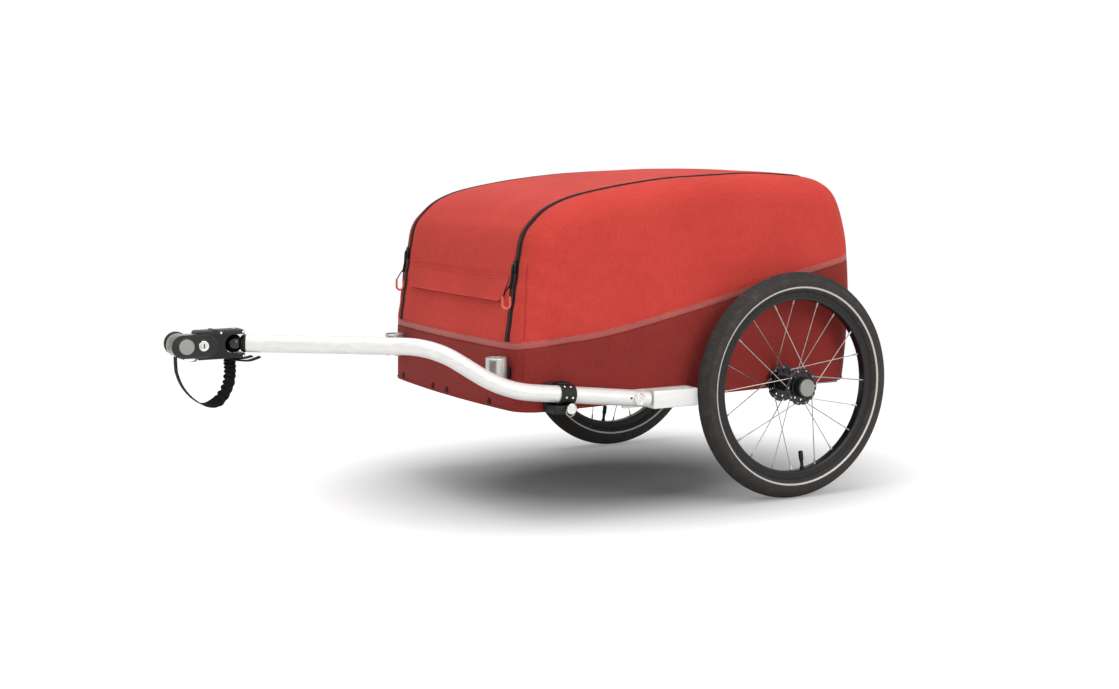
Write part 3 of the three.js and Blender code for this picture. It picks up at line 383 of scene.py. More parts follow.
def webbing(name, light, dark, pitch=0.0014):
    material, tree, surface = new_finish(name)
    ribs = total(tree, threads(tree, "Z", pitch, 0.4), threads(tree, "Y", pitch, 0.4),
                 threads(tree, "X", pitch * 2, 0.4))
    share = total(tree, spread(tree, ribs, 0, 3, 0, 0.7), spread(tree, grain(tree, 90, 3), 0.3, 0.7, 0, 0.3))
    feed_all(tree, surface, Base_Color=mixed(tree, share, dark, light), Roughness=0.8, Sheen_Weight=0.02,
             Specular_IOR_Level=0.15, Normal=bump(tree, ribs, 0.5, 0.0004))
    return material


def plastic(name, light, dark, roughness=0.42, texture=380, depth=0.00012, coat=0.0, level=0.5):
    material, tree, surface = new_finish(name)
    broad = grain(tree, 14, 3)
    feed_all(tree, surface, Base_Color=mixed(tree, spread(tree, broad, 0.3, 0.7), dark, light),
             Roughness=spread(tree, broad, 0.3, 0.7, roughness - 0.06, roughness + 0.08), Coat_Weight=coat,
             Coat_Roughness=0.08, Specular_IOR_Level=level,
             Normal=bump(tree, grain(tree, texture, 3), 0.3, depth))
    return material


def metal(name, light, dark, roughness=0.3, streak=(1, 1, 1), metallic=1.0):
    material, tree, surface = new_finish(name)
    fine = grain(tree, 120, 4, 0.55, streak)
    uneven = total(tree, spread(tree, fine, 0.3, 0.7, -0.05, 0.05),
                   spread(tree, grain(tree, 9, 3), 0.3, 0.7, roughness - 0.04, roughness + 0.06))
    feed_all(tree, surface, Base_Color=mixed(tree, spread(tree, fine, 0.3, 0.7), dark, light),
             Roughness=uneven, Metallic=metallic, Normal=bump(tree, fine, 0.08, 0.0002))
    return material


red_cloth = woven_cloth("red_cloth", colour(211, 71, 61), colour(194, 61, 53))
dark_cloth = woven_cloth("dark_red_cloth", colour(148, 50, 44), colour(130, 42, 38))
# painted highlight: this seam cloth is a lighter red than the cover so welts, ribs, binding and stitches read
# as lit edges
highlight_seam_cloth = woven_cloth("highlight_seam_cloth", colour(222, 92, 80), colour(186, 62, 54))
# painted shade: this fold cloth is a darker red than the cover, standing in for the shade in the side seam's
# fold
fold_shade_cloth = woven_cloth("fold_shade_cloth", colour(172, 56, 48), colour(154, 48, 42))
band_tape = woven_cloth("reflective_tape", colour(186, 98, 92), colour(160, 80, 75), 0.0018, 0.45, 0.1, 0.3)
black_web = webbing("black_webbing", colour(27, 27, 29), colour(9, 9, 11))
zip_tape = webbing("zip_tape", colour(66, 38, 33), colour(38, 20, 18), 0.0009)
loop_cord = woven_cloth("loop_cord", colour(246, 122, 96), colour(214, 84, 64), 0.0007, 0.55, 0.1, 0.3)
zip_metal = plastic("zip_coil", colour(26, 18, 17), colour(12, 9, 8), 0.4, level=0.3)
black_plastic = plastic("black_plastic", colour(21, 21, 23), colour(11, 11, 13), 0.45, level=0.28)
gloss_black = plastic("gloss_black", colour(16, 16, 18), colour(7, 7, 8), 0.2, 60, 0.00005, 0.3, 0.35)
grey_cap = plastic("grey_cap", colour(160, 159, 154), colour(138, 137, 133), 0.45)
dark_stud = plastic("dark_stud", colour(60, 26, 24), colour(40, 17, 16), 0.6, level=0.1)
white_alloy = metal("white_alloy", colour(236, 235, 232), colour(224, 223, 220), 0.36, (1, 0.08, 1), 0.3)
frame_alloy = metal("frame_alloy", colour(206, 207, 210), colour(184, 185, 188), 0.38, (1, 0.08, 1))
cast_alloy = metal("cast_alloy", colour(214, 212, 208), colour(168, 166, 162), 0.42, (1, 1, 0.2), 0.7)
bright_steel = metal("bright_steel", colour(232, 230, 227), colour(200, 198, 195), 0.2, (1, 1, 0.2))
spoke_steel = metal("spoke_steel", colour(176, 170, 166), colour(146, 140, 137), 0.3)
# steel with a brown tint painted in: a painted reflection of the red cloth in the polished sleeve
reflection_tinted_sleeve_steel = metal("reflection_tinted_sleeve_steel", colour(158, 146, 136), colour(100, 90, 82), 0.3, (0.1, 1, 1))
black_alloy = metal("black_alloy", colour(30, 30, 33), colour(14, 14, 16), 0.34, metallic=0.35)
board = plastic("pressed_board", colour(66, 66, 68), colour(48, 48, 50), 0.7, 220, 0.0003)


def tyre_rubber():
    material, tree, surface = new_finish("tyre_rubber")
    dust = grain(tree, 46, 6, 0.62)
    share = math_of(tree, "MULTIPLY", spread(tree, dust, 0.45, 0.75),
                    spread(tree, grain(tree, 6, 3), 0.35, 0.65, 0.25, 0.9))
    feed_all(tree, surface, Base_Color=mixed(tree, share, colour(38, 35, 33), colour(86, 78, 70)),
             Roughness=spread(tree, dust, 0.3, 0.7, 0.62, 0.86), Specular_IOR_Level=0.4,
             Normal=bump(tree, grain(tree, 700, 3), 0.3, 0.0003))
    return material


def reflex_strip():
    material, tree, surface = new_finish("reflex_strip")
    cells = shader(tree, "TexVoronoi", Vector=place(tree), Scale=900).outputs["Distance"]
    share = spread(tree, cells, 0, 0.6)
    feed_all(tree, surface, Base_Color=mixed(tree, share, colour(226, 224, 218), colour(186, 184, 180)),
             Roughness=0.4, Metallic=0.2, Normal=bump(tree, cells, 0.3, 0.0001))
    return material


rubber = tyre_rubber()
reflex = reflex_strip()

# Studio: pale floor with a painted shadow under the trailer, white surroundings, soft lamps


def distance_of(tree, scale=(1, 1, 1), shift=(0, 0, 0)):
    node = shader(tree, "VectorMath", place(tree, scale, shift=shift))
    node.operation = "LENGTH"
    return node.outputs["Value"]


def seen_directly(tree):
    rays = shader(tree, "LightPath").outputs
    seen = math_of(tree, "MAXIMUM", rays["Is Camera Ray"], rays["Is Glossy Ray"])
    return math_of(tree, "MAXIMUM", seen, rays["Is Transmission Ray"])


def floor_finish():
    material, tree, surface = new_finish("pale_floor")
    seen = seen_directly(tree)
    foot = distance_of(tree, (1.9, 1.45, 0), (-0.06, -0.42, 0))
    # painted shadow: the floor's colour darkens from 0.82 to 0.40 towards the trailer's footprint
    painted_shadow_tone = mixed(tree, spread(tree, foot, 0.3, 1.2), (0.40, 0.40, 0.40, 1), (0.82, 0.82, 0.82, 1))
    feed_all(tree, surface, Base_Color=painted_shadow_tone, Roughness=0.9, Specular_IOR_Level=0.05)
    # painted shadow: the glow that whitens the floor for the camera fades to nothing over the footprint
    clear = spread(tree, foot, 0.35, 1.4, 0.0, 0.48)
    glow = shader(tree, "Emission", Strength=math_of(tree, "MULTIPLY", seen, clear))
    both = shader(tree, "AddShader", surface.outputs["BSDF"], glow.outputs["Emission"])
    white = shader(tree, "Emission", Strength=1)
    far = math_of(tree, "MULTIPLY", spread(tree, distance_of(tree), 1.4, 3.0), seen)
    blend = shader(tree, "MixShader", far, both.outputs[0], white.outputs[0])
    feed_all(tree, tree.nodes["Material Output"], Surface=blend.outputs[0])
    return material


def studio():
    release_all()
    bpy.ops.mesh.primitive_plane_add(size=60, location=(0, 0, 0))
    floor = settle(bpy.context.object, "studio_floor")
    floor.data.materials.append(floor_finish())
    world = bpy.data.worlds.new("white_surroundings")
    world.use_nodes = True
    bpy.context.scene.world = world
    tree = world.node_tree
    feed_all(tree, tree.nodes["Background"], Color=(1, 1, 1, 1),
             Strength=spread(tree, seen_directly(tree), 0, 1, 0.42, 1.0))
    lamps = [
        ("lamp_above", (0.3, -0.1, 3.4), (0, 0.1, 0), 3.2, 62),
        ("lamp_side", (3.6, 0.9, 1.9), (0, 0.2, 0.4), 2.2, 52),
        ("lamp_front", (1.2, -3.4, 1.9), (0, 0.0, 0.4), 2.2, 25),
    ]
    for name, spot, aim, size, power in lamps:
        direction = Vector(aim) - Vector(spot)
        turn = direction.to_track_quat("-Z", "Y").to_euler()
        bpy.ops.object.light_add(type="AREA", location=spot, rotation=turn)
        lamp = bpy.context.object
        lamp.name = name
        lamp.data.size = size
        lamp.data.energy = power


studio()
bpy.context.scene.view_settings.view_transform = "Standard"

# Textile box

bag_front = -0.1125
bag_rear = 0.7595
bag_bottom = 0.228
bag_top = 0.713
bag_half = 0.338
bag_round = 0.060
bag_lean = 0.008
bag_crown = 0.008
bag_rear_lift = 0.017
bag_length = bag_rear - bag_front
bag_height = bag_top - bag_bottom
cloth = 0.0018
zip_inner = 0.2595
zip_outer = 0.2815
hinge_y = 0.6265
band_half = 0.007

outline_shares = [
    (0, 0), (0.0004, 0.148), (0.0014, 0.293), (0.0207, 0.513), (0.0399, 0.726), (0.0681, 0.802),
    (0.1193, 0.872), (0.2206, 0.926), (0.416, 0.977), (0.6103, 0.998), (0.7007, 1), (0.8151, 0.992),
    (0.8725, 0.981), (0.907, 0.963), (0.9357, 0.932), (0.957, 0.882), (0.9749, 0.802), (0.9906, 0.689),
    (0.9977, 0.546), (1, 0.404), (0.9954, 0.2515), (0.9875, 0.1216), (0.9781, 0),
]
band_shares = [
    (-0.1492, 0.272), (-0.0238, 0.272), (0.0357, 0.289), (0.1057, 0.301), (0.252, 0.328), (0.5011, 0.4185),
    (0.6824, 0.495), (0.8544, 0.563), (1.1045, 0.664),
]


def on_box(shares):
    return [(bag_front + bag_length * along, bag_bottom + bag_height * up) for along, up in shares]


band_line = curve_through(on_box(band_shares), 4)


def band_level(y):
    for (y0, z0), (y1, z1) in zip(band_line, band_line[1:]):
        if y0 <= y <= y1:
            return between(z0, z1, (y - y0) / (y1 - y0))
    return band_line[0][1] if y < band_line[0][0] else band_line[-1][1]


def sewn_block():
    skirt, remesh_size = 0.07, 0.0066
    front_bulge, bulge_top, bulge_from, bulge_to = 0.012, 0.50, bag_front + 0.012, bag_front + 0.060
    path = curve_through(on_box(outline_shares), 4)
    path = [(path[0][0], path[0][1] - skirt)] + path + [(path[-1][0], path[-1][1] - skirt)]
    block = drawn_line("sewn_block", [(-bag_half, y, z) for y, z in path], closed=True)
    edit_all(block, "FACE")
    bpy.ops.mesh.extrude_region_move(TRANSFORM_OT_translate={"value": (2 * bag_half, 0, 0)})
    bpy.ops.mesh.select_all(action="SELECT")
    bpy.ops.mesh.normals_make_consistent(inside=False)
    bpy.ops.mesh.select_all(action="DESELECT")
    release_all()
    for edge in block.data.edges:
        ends = [block.data.vertices[i].co for i in edge.vertices]
        edge.select = abs(abs(ends[0].x) - bag_half) < 1e-5 and abs(ends[0].x - ends[1].x) < 1e-5
    edit(block, "EDGE")
    bpy.ops.mesh.bevel(offset=bag_round, segments=8, profile=0.5, clamp_overlap=False)
    release_all()
    block.data.remesh_voxel_size = remesh_size
    take_up(block)
    bpy.ops.object.voxel_remesh()
    edit_all(block)
    bpy.ops.mesh.vertices_smooth(factor=0.5, repeat=4)
    bpy.ops.mesh.select_all(action="DESELECT")
    release_all()
    for vertex in block.data.vertices:
        point = vertex.co
        rise = max(0.0, (point.z - bag_bottom) / bag_height)
        middle = max(0.0, 1 - (point.x / (bag_half - bag_round)) ** 2)
        point.x *= 1 - (bag_lean / bag_half) * rise
        point.z += bag_crown * middle * min(1.0, rise) ** 4
        bulge = 1 - ease(point.z, bag_bottom, bulge_top)
        bulge *= 1 - ease(point.y, bulge_from, bulge_to)
        point.y -= front_bulge * middle * bulge
    return block


def bisect_where(block, test, point, normal, clear=False):
    choose(block, lambda polygon: test(polygon.center))
    bpy.ops.mesh.bisect(plane_co=point, plane_no=Vector(normal).normalized(), clear_inner=clear,
                        threshold=0.0001)
    release_all()


def cut_seams(block):
    slope = bag_rear_lift / bag_length
    reach = 0.02
    bisect_where(block, lambda c: c.z < bag_bottom + 0.05, (0, bag_front, bag_bottom),
                 (0, -slope, 1), clear=True)
    for shift in (band_half, -band_half):
        for (y0, z0), (y1, z1) in zip(band_line, band_line[1:]):
            if y1 < bag_front - reach or y0 > bag_rear + reach:
                continue
            near = lambda c: y0 <= c.y < y1 and abs(c.z - shift - band_level(c.y)) < reach
            bisect_where(block, near, (0, y0, z0 + shift), (0, z0 - z1, y1 - y0))
    upper = lambda c: c.z > band_level(c.y) + band_half
    for x in (zip_inner, zip_outer, -zip_inner, -zip_outer):
        bisect_where(block, lambda c: upper(c) and c.y < hinge_y + reach / 2 and abs(c.x - x) < reach,
                     (x, 0, 0), (1, 0, 0))
    bisect_where(block, lambda c: upper(c) and abs(c.y - hinge_y) < reach and c.z > 0.6
                 and abs(c.x) < zip_outer + 0.001, (0, hinge_y, 0), (0, 1, 0))


def panel_of(centre):
    level = band_level(centre.y)
    if centre.z < level - band_half:
        return "tub"
    if centre.z < level + band_half:
        return "band"
    if centre.y < hinge_y and abs(centre.x) < zip_inner:
        return "lid"
    if centre.y < hinge_y and abs(centre.x) < zip_outer:
        return "zip_left" if centre.x > 0 else "zip_right"
    return "cover"


hem_depth = 0.0011
hem_reach = 0.0018
pucker_depth = 0.0012
pucker_reach = 0.16
pucker_spot = (0.30, -0.06, 0.47)


def wrinkle(point):
    slow = noise.noise(point * 5.0) * 0.0016
    fold = noise.noise(Vector((point.x * 7, point.y * 16, point.z * 5 + 3))) * 0.0007
    level = point.z - band_level(point.y)
    hem = hem_depth if abs(abs(level) - band_half) < hem_reach else 0
    if level > band_half and point.y < hinge_y + 0.002:
        edge = min(abs(abs(point.x) - zip_inner), abs(abs(point.x) - zip_outer))
        hem = max(hem, hem_depth if edge < hem_reach else 0)
    away = Vector((abs(point.x), point.y, point.z)) - Vector(pucker_spot)
    corner = max(0.0, 1 - away.length / pucker_reach)
    pucker = pucker_depth * corner * sin(point.z * 120 + point.y * 60)
    return slow + fold + pucker - hem


def soften(block):
    places = [vertex.co.copy() for vertex in block.data.vertices]
    normals = [vertex.normal.copy() for vertex in block.data.vertices]
    for vertex, point, normal in zip(block.data.vertices, places, normals):
        low = min(1.0, max(0.0, (point.z - bag_bottom) / 0.04))
        vertex.co = point + normal * wrinkle(point) * (0.3 + 0.7 * low)


def surface_tree(piece):
    graph = bpy.context.evaluated_depsgraph_get()
    graph.update()
    return BVHTree.FromObject(piece, graph)


box_cloth = sewn_block()
cut_seams(box_cloth)
soften(box_cloth)
cloth_tree = surface_tree(box_cloth)
ray_start = 0.2
box_heart = (0.30, 0.44)


def cloth_hit(origin, direction):
    spot, normal = cloth_tree.ray_cast(Vector(origin), Vector(direction).normalized())[:2]
    if spot is None:
        return None, None
    return spot, -normal if normal.dot(Vector(direction)) < 0 else normal


def front_hit(x, z):
    return cloth_hit((x, ray_start, z), (0, -1, 0))


def round_the_box(x, lift, start, end, count):
    points = []
    for i in range(count + 1):
        angle = between(start, end, i / count)
        spot, normal = cloth_hit((x, *box_heart), (0, -cos(angle), sin(angle)))
        if spot is not None:
            points.append(spot + Vector((0, normal.y, normal.z)).normalized() * lift)
    return points


def panels(block):
    made = {}
    groups = {}
    for polygon in block.data.polygons:
        groups.setdefault(panel_of(polygon.center), set()).add(polygon.index)
    for label, kept in groups.items():
        piece = copy_of(block, label + "_cloth")
        edit(piece, "FACE")
        bpy.ops.mesh.select_all(action="DESELECT")
        release_all()
        for polygon in piece.data.polygons:
            polygon.select = polygon.index not in kept
        edit(piece, "FACE")
        bpy.ops.mesh.delete(type="FACE")
        release_all()
        apply_modifier(piece, "SOLIDIFY", thickness=cloth, offset=-1, use_rim=True)
        smooth(piece, 50)
        made[label] = piece
    return made


cloth_panels = panels(box_cloth)
bpy.data.objects.remove(box_cloth)

for label, *looks in (
        ("tub", dark_cloth, "frame", "dark_red_fabric", "tub_fabric"),
        ("band", band_tape, "frame", "band_tape", "reflective_band"),
        ("cover", red_cloth, "frame", "red_fabric", "side_cover"),
        ("lid", red_cloth, "lid", "red_fabric", "lid_panel"),
        ("zip_left", zip_tape, "frame", "zip_tape", "zip_left"),
        ("zip_right", zip_tape, "frame", "zip_tape", "zip_right")):
    finish(cloth_panels[label], *looks)

# Wheels: each piece is modelled at the left and turned round for the right

wheel_y = 0.5385
wheel_z = 0.25
wheel_x = 0.388
wheel_centre = (wheel_x, wheel_y, wheel_z)
spoke_count = 10
hub_circle, rim_circle = 0.036, 0.1888
outer_flange, inner_flange = 0.027, -0.040
to_right = (Matrix.Translation((0, wheel_y, 0)) @ Matrix.Rotation(pi, 4, "Z")
            @ Matrix.Translation((0, -wheel_y, 0)))


def on_both_wheels(piece, material, slot, *stems, body="wheel"):
    twin = turned_copy(piece, piece.name + "_right", to_right)
    finish(piece, material, body + "_left", slot, *[stem + "_left" for stem in stems])
    finish(twin, material, body + "_right", slot, *[stem + "_right" for stem in stems])


tyre_shares = [
    (0, -0.27), (0.12, -0.4), (0.35, -0.5), (0.62, -0.47), (0.84, -0.33), (0.965, -0.15),
    (1, 0), (0.965, 0.15), (0.84, 0.33), (0.62, 0.47), (0.35, 0.5), (0.12, 0.4), (0, 0.27),
]
tyre_steps = 132
tyre_seat, tyre_height, tyre_width = 0.2075, 0.0425, 0.046
tread_radius, pit_depth = 0.2365, 0.0007
tyre_line = curve_through(
    [(tyre_seat + tyre_height * rise, tyre_width * across) for rise, across in tyre_shares], 3)


def tyre():
    piece = turned("tyre_carcass", tyre_line + [tyre_line[0]], wheel_centre, steps=tyre_steps, angle=40)
    rows = sorted({round(polygon.center.x, 4) for polygon in piece.data.polygons})
    turn = 2 * pi / tyre_steps

    def is_pit(polygon):
        spot = polygon.center - Vector(wheel_centre)
        radius = sqrt(spot.y ** 2 + spot.z ** 2)
        step = int((atan2(spot.z, spot.y) + pi) / turn)
        row = rows.index(round(polygon.center.x, 4))
        return radius > tread_radius and (step + row) % 2 == 0

    choose(piece, is_pit)
    bpy.ops.mesh.inset(thickness=pit_depth, depth=-pit_depth, use_individual=True)
    release_all()
    smooth(piece, 28)
    return piece


def tyre_reach(radius):
    side = tyre_line[len(tyre_line) // 2:]
    for (r1, x1), (r0, x0) in zip(side, side[1:]):
        if r0 <= radius <= r1:
            return between(x0, x1, (radius - r0) / (r1 - r0))
    return side[-1][1]


def side_strip(side):
    inner, outer = 0.2156, 0.2194
    low, high = tyre_reach(inner), tyre_reach(outer)
    middle = tyre_reach((inner + outer) / 2)
    profile = [(inner, low - 0.0004), (inner, low + 0.0001), ((inner + outer) / 2, middle + 0.0007),
               (outer, high + 0.0001), (outer, high - 0.0004), (inner, low - 0.0004)]
    return turned("tyre_strip", [(radius, side * reach) for radius, reach in profile], wheel_centre, steps=96)


def rim():
    half = mm(
        (189.2, 0), (189.2, 5), (189.5, 8), (190.8, 10.5), (193.2, 12.1), (196, 12.5), (197.2, 12.4),
        (197.8, 11.9), (204.8, 11.9), (205.4, 12.5), (206.6, 12.5), (207.2, 12)
    )
    outline = half + [(radius, -reach) for radius, reach in reversed(half)]
    return turned("rim_channel", outline, wheel_centre, steps=120, angle=30)


def spoke_runs(offset, rim_offset, phase):
    pitch = 2 * pi / spoke_count
    for i in range(spoke_count):
        hub_angle = pitch * (i + phase)
        rim_angle = hub_angle + (pitch if i % 2 == 0 else -pitch)
        start = Vector((offset, hub_circle * cos(hub_angle), hub_circle * sin(hub_angle)))
        end = Vector((rim_offset, rim_circle * cos(rim_angle), rim_circle * sin(rim_angle)))
        yield start + Vector(wheel_centre), end + Vector(wheel_centre)


def spokes(name, offset, rim_offset, phase):
    runs = list(spoke_runs(offset, rim_offset, phase))
    length = (runs[0][1] - runs[0][0]).length
    wire = 0.0011
    shaft = turned("spoke", [
        (0, -0.001), (wire, -0.001), (wire, length - 0.012), (0.0018, length - 0.0112),
        (0.0021, length - 0.0095), (0.0021, length - 0.001), (0.0026, length), (0, length),
    ], (0, 0, 0), steps=8)
    head = turned("spoke_head", mm((0, 1.8), (2.5, 1.8), (2.5, 2.6), (1.7, 3.6), (0, 3.9)), (0, 0, 0),
                  steps=10)
    made = []
    for start, end in runs:
        turn = Vector((1, 0, 0)).rotation_difference(end - start).to_matrix().to_4x4()
        made.append(turned_copy(shaft, "spoke", Matrix.Translation(start) @ turn))
        made.append(turned_copy(head, "spoke_head", Matrix.Translation(start)))
    bpy.data.objects.remove(shaft)
    bpy.data.objects.remove(head)
    return settle(join(*made), name)


def flange(name, offset):
    inner, rim_edge, half = 0.0171, 0.0405, 0.002
    steps, notch_from, notch_share = 60, 0.0385, 0.93
    holes, hole_circle, hole_radius = 10, 0.028, 0.0028
    profile = [
        (inner, -half), (0.039, -half), (rim_edge, -half + 0.0006), (rim_edge, half - 0.0006), (0.039, half),
        (0.0325, half), (0.0315, half - 0.0009), (0.0245, half - 0.0009), (0.0235, half), (inner, half),
        (inner, -half),
    ]
    profile = [(radius, reach + offset) for radius, reach in profile]
    piece = turned(name, profile, wheel_centre, steps=steps, angle=28)
    for vertex in piece.data.vertices:
        spot = vertex.co - Vector(wheel_centre)
        radius = sqrt(spot.y ** 2 + spot.z ** 2)
        step = round(atan2(spot.z, spot.y) / (2 * pi / steps))
        if radius > notch_from and step % 6 == 3:
            vertex.co = Vector(wheel_centre) + Vector((spot.x, spot.y * notch_share, spot.z * notch_share))
    tools = []
    reach = Vector((0.01, 0, 0))
    for i in range(holes):
        angle = 2 * pi / holes * (i + 0.5)
        spot = Vector((wheel_x + offset, wheel_y + hole_circle * cos(angle),
                       wheel_z + hole_circle * sin(angle)))
        tools.append(pin("hole", spot - reach, spot + reach, hole_radius, sides=14))
    cut_with(piece, join(*tools))
    smooth(piece, 28)
    return piece


def hub():
    return turned("hub_shell_turned", mm(
        (6.4, -47), (16, -47), (17, -46.2), (17, -36.5), (15.2, -33), (15.2, 18), (17, 22.5),
        (17.2, 29.2), (21.4, 29.3), (22.2, 30), (22.2, 45.6), (21.4, 46.4), (20, 46.4), (19.5, 45.7),
        (19.5, 38.6), (11.5, 38), (6.4, 38), (6.4, -47)
    ), wheel_centre, steps=60, angle=30)


def release_cap():
    return turned("release_cap", mm(
        (0, 24.6), (3, 24.6), (3, 44.6), (18.5, 44.6), (19, 45.1), (19, 49.4), (18.4, 50.2),
        (17.2, 50.5), (16.4, 50.1), (15.8, 50), (8, 50.4), (0, 50.5)
    ), wheel_centre, steps=60, angle=25)


def valve():
    lean, foot = 0.14325, 0.1893
    outward = Vector((0, sin(lean), -cos(lean)))
    return turned("valve_and_cap", mm(
        (0, 0), (5, 0), (5, 3.5), (3.7, 5), (3.7, 15), (4.3, 15.5), (4.3, 19), (5.1, 19.8),
        (5.3, 21.5), (5.3, 37), (4.5, 39.2), (2.8, 39.9), (0, 40)
    ), Vector(wheel_centre) + outward * foot, -outward, steps=20, angle=25)


on_both_wheels(tyre(), rubber, "tyre", "tyre")
on_both_wheels(side_strip(1), reflex, "silver")
inner_strip = side_strip(-1)
inner_strip.name = "tyre_strip_inner"
on_both_wheels(inner_strip, reflex, "silver")
on_both_wheels(rim(), black_alloy, "black_alloy", "rim")
on_both_wheels(hub(), black_plastic, "black_alloy", "hub_shell")
on_both_wheels(flange("flange_outer", outer_flange), gloss_black, "black_alloy", "spokes_outer")
on_both_wheels(flange("flange_inner", inner_flange), gloss_black, "black_alloy", "spokes_inner")
on_both_wheels(spokes("spokes_outer_wires", outer_flange, 0.004, 0), spoke_steel, "steel", "spokes_outer")
on_both_wheels(spokes("spokes_inner_wires", inner_flange, -0.004, 0.5), spoke_steel, "steel", "spokes_inner")
on_both_wheels(valve(), black_plastic, "black_plastic", "valve")
on_both_wheels(release_cap(), grey_cap, "grey_plastic", "release_button", body="release")

# Drawbar, its holders and pins


def in_frame(x, y, z):
    return Vector((x, y + 538.5, z)) / 1000


bar_rear = in_frame(370, -368, 244.6)
bar_knee = in_frame(370, -705, 284)
bar_shoulder = in_frame(314, -835, 375)
bar_tip = in_frame(179, -1176, 388)
bar_run = (bar_knee - bar_rear).normalized()
tip_run = (bar_tip - bar_shoulder).normalized()
wall_inside, wall_face = 0.33, 0.3386
pin_line = 0.3878
lock_y, lock_z = -0.0255, 0.241
hitch_y, hitch_z = 0.1395, 0.24822
pin_bore = 0.0043
band_bore = 0.0178
receptacle_y, receptacle_low, receptacle_high = -0.1431, 0.292, 0.342


def on_bar(y):
    return bar_rear + bar_run * ((y / 1000 + 0.5385 - bar_rear.y) / bar_run.y)


def bent_path(corners, radius, steps=16):
    path = [corners[0]]
    for before, corner, after in zip(corners, corners[1:], corners[2:]):
        incoming, outgoing = (corner - before).normalized(), (after - corner).normalized()
        reach = radius * tan(incoming.angle(outgoing) / 2)
        start, end = corner - incoming * reach, corner + outgoing * reach
        for i in range(steps + 1):
            share = i / steps
            path.append(between(between(start, corner, share), between(corner, end, share), share))
    path.append(corners[-1])
    return path


def drawbar():
    route = bent_path([bar_rear, bar_knee, bar_shoulder, bar_tip], 0.215)
    piece = tube("drawbar_bent_tube", route, 0.0175, sides=28)
    round_edges(piece, 0.0032, 4, 60)
    smooth(piece, 40)
    return piece


def clamp():
    start, end = on_bar(-584), on_bar(-550)
    length = (end - start).length
    piece = turned("front_clamp_band", [
        (band_bore, 0), (0.0206, 0), (0.0213, 0.0007), (0.0213, 0.0052), (0.0205, 0.0060),
        (0.0205, length - 0.0060), (0.0213, length - 0.0052), (0.0213, length - 0.0007), (0.0206, length),
        (band_bore, length), (band_bore, 0),
    ], start, end - start, steps=48)
    tube_space = pin("space", on_bar(-640), on_bar(-500), band_bore, sides=48)
    top = start.z + 0.0213
    wall = rounded_block("wall_plate", (wall_face, -0.0625, 0.230), (0.3496, -0.0115, top), 0.003)
    bridge = rounded_block("bridge", (0.340, -0.0455, top - 0.0090), (0.366, -0.0115, top + 0.0004), 0.0022)
    cut_with(wall, bridge, "UNION")
    arm = rounded_block("arm", (0.340, -0.0625, 0.230), (0.3874, -0.0175, 0.2485), 0.0035)
    cut_with(wall, arm, "UNION")
    cut_with(wall, tube_space)
    cut_with(piece, wall, "UNION")
    cut_with(piece, pin("hole", (wall_inside, lock_y, lock_z), (0.42, lock_y, lock_z), pin_bore))
    smooth(piece, 30)
    return piece


def clamp_rivets():
    start, end = on_bar(-584), on_bar(-550)
    rivets = []
    for share in (0.3, 0.72):
        for lift in (58, -12):
            angle = radians(lift)
            outward = Vector((cos(angle), 0, sin(angle)))
            base = between(start, end, share) + outward * 0.0198
            profile = mm((0, 0), (2.6, 0), (2.6, 1), (1.8, 1.8), (0, 2.1))
            rivets.append(turned("rivet", profile, base, outward, steps=16))
    return settle(join(*rivets), "clamp_rivets")


def locking_pin():
    return turned("locking_pin_knob", mm(
        (0, 338.9), (3.4, 338.9), (4, 339.5), (4, 390), (7.8, 390.2), (10.4, 391.1), (11.5, 393),
        (11.2, 394.6), (9.8, 395.7), (7, 396.1), (6.2, 395.7), (0, 395.7)
    ), (0, lock_y, lock_z), steps=40, angle=25)


def split_ring():
    ring, wire, windings, steps = 0.0105, 0.00048, 1.9, 57
    centre = Vector(((pin_line + 0.3901) / 2, lock_y, lock_z - 0.0055))
    points = []
    for i in range(steps + 1):
        angle = 2 * pi * windings * i / steps
        aside = between(-0.0005, 0.0005, i / steps)
        points.append(centre + Vector((aside, ring * sin(angle), ring * cos(angle))))
    return tube("split_ring", points, wire, sides=8)


def hitch_pin():
    return turned("hitch_pin_turned", [
        (0, 0.3389), (0.0034, 0.3389), (0.0040, 0.3395), (0.0040, pin_line), (0.0125, pin_line),
        (0.0130, 0.3883), (0.0130, 0.3904), (0.0124, 0.3911), (0.0108, 0.3912), (0.0101, 0.3904),
        (0.0042, 0.3903), (0.0036, 0.3909), (0, 0.3910),
    ], (0, hitch_y, hitch_z), steps=48, angle=25)


def bar_plug():
    centre = on_bar(-418) + Vector((0.0171, 0, 0.001))
    return turned("bar_plug", mm((0, 0), (2.4, 0), (2.4, 0.8), (1.6, 1.2), (0, 1)), centre, steps=18)


def bracket():
    outer, side, low, high, front, rear, sheet = 0.3486, 0.3866, 0.224, 0.262, 0.1765, 0.2865, 0.0035
    piece = rounded_block("rear_bracket_box", (outer - sheet, front, low), (side, rear, high), 0.0022)
    wall = rounded_block("bracket_wall", (wall_face, 0.1245, low), (outer, rear, high), 0.0018)
    cut_with(piece, wall, "UNION")
    tray = rounded_block("tray", (outer + sheet, front + sheet, low + sheet),
                         (side - sheet, rear - sheet, 0.290), 0.0060, 4)
    cut_with(piece, tray)
    start = Vector((wall_inside, hitch_y, hitch_z))
    end = start + bar_run * 0.03
    across = Vector((0, -bar_run.z, bar_run.y)) * pin_bore
    slot_outline = [start + across, end + across, end - across, start - across]
    cut_with(piece, plate("slot", slot_outline, (outer - wall_inside, 0, 0)))
    cut_with(piece, pin("seat", start, (outer - 0.0001, hitch_y, hitch_z), pin_bore))
    smooth(piece, 30)
    return piece


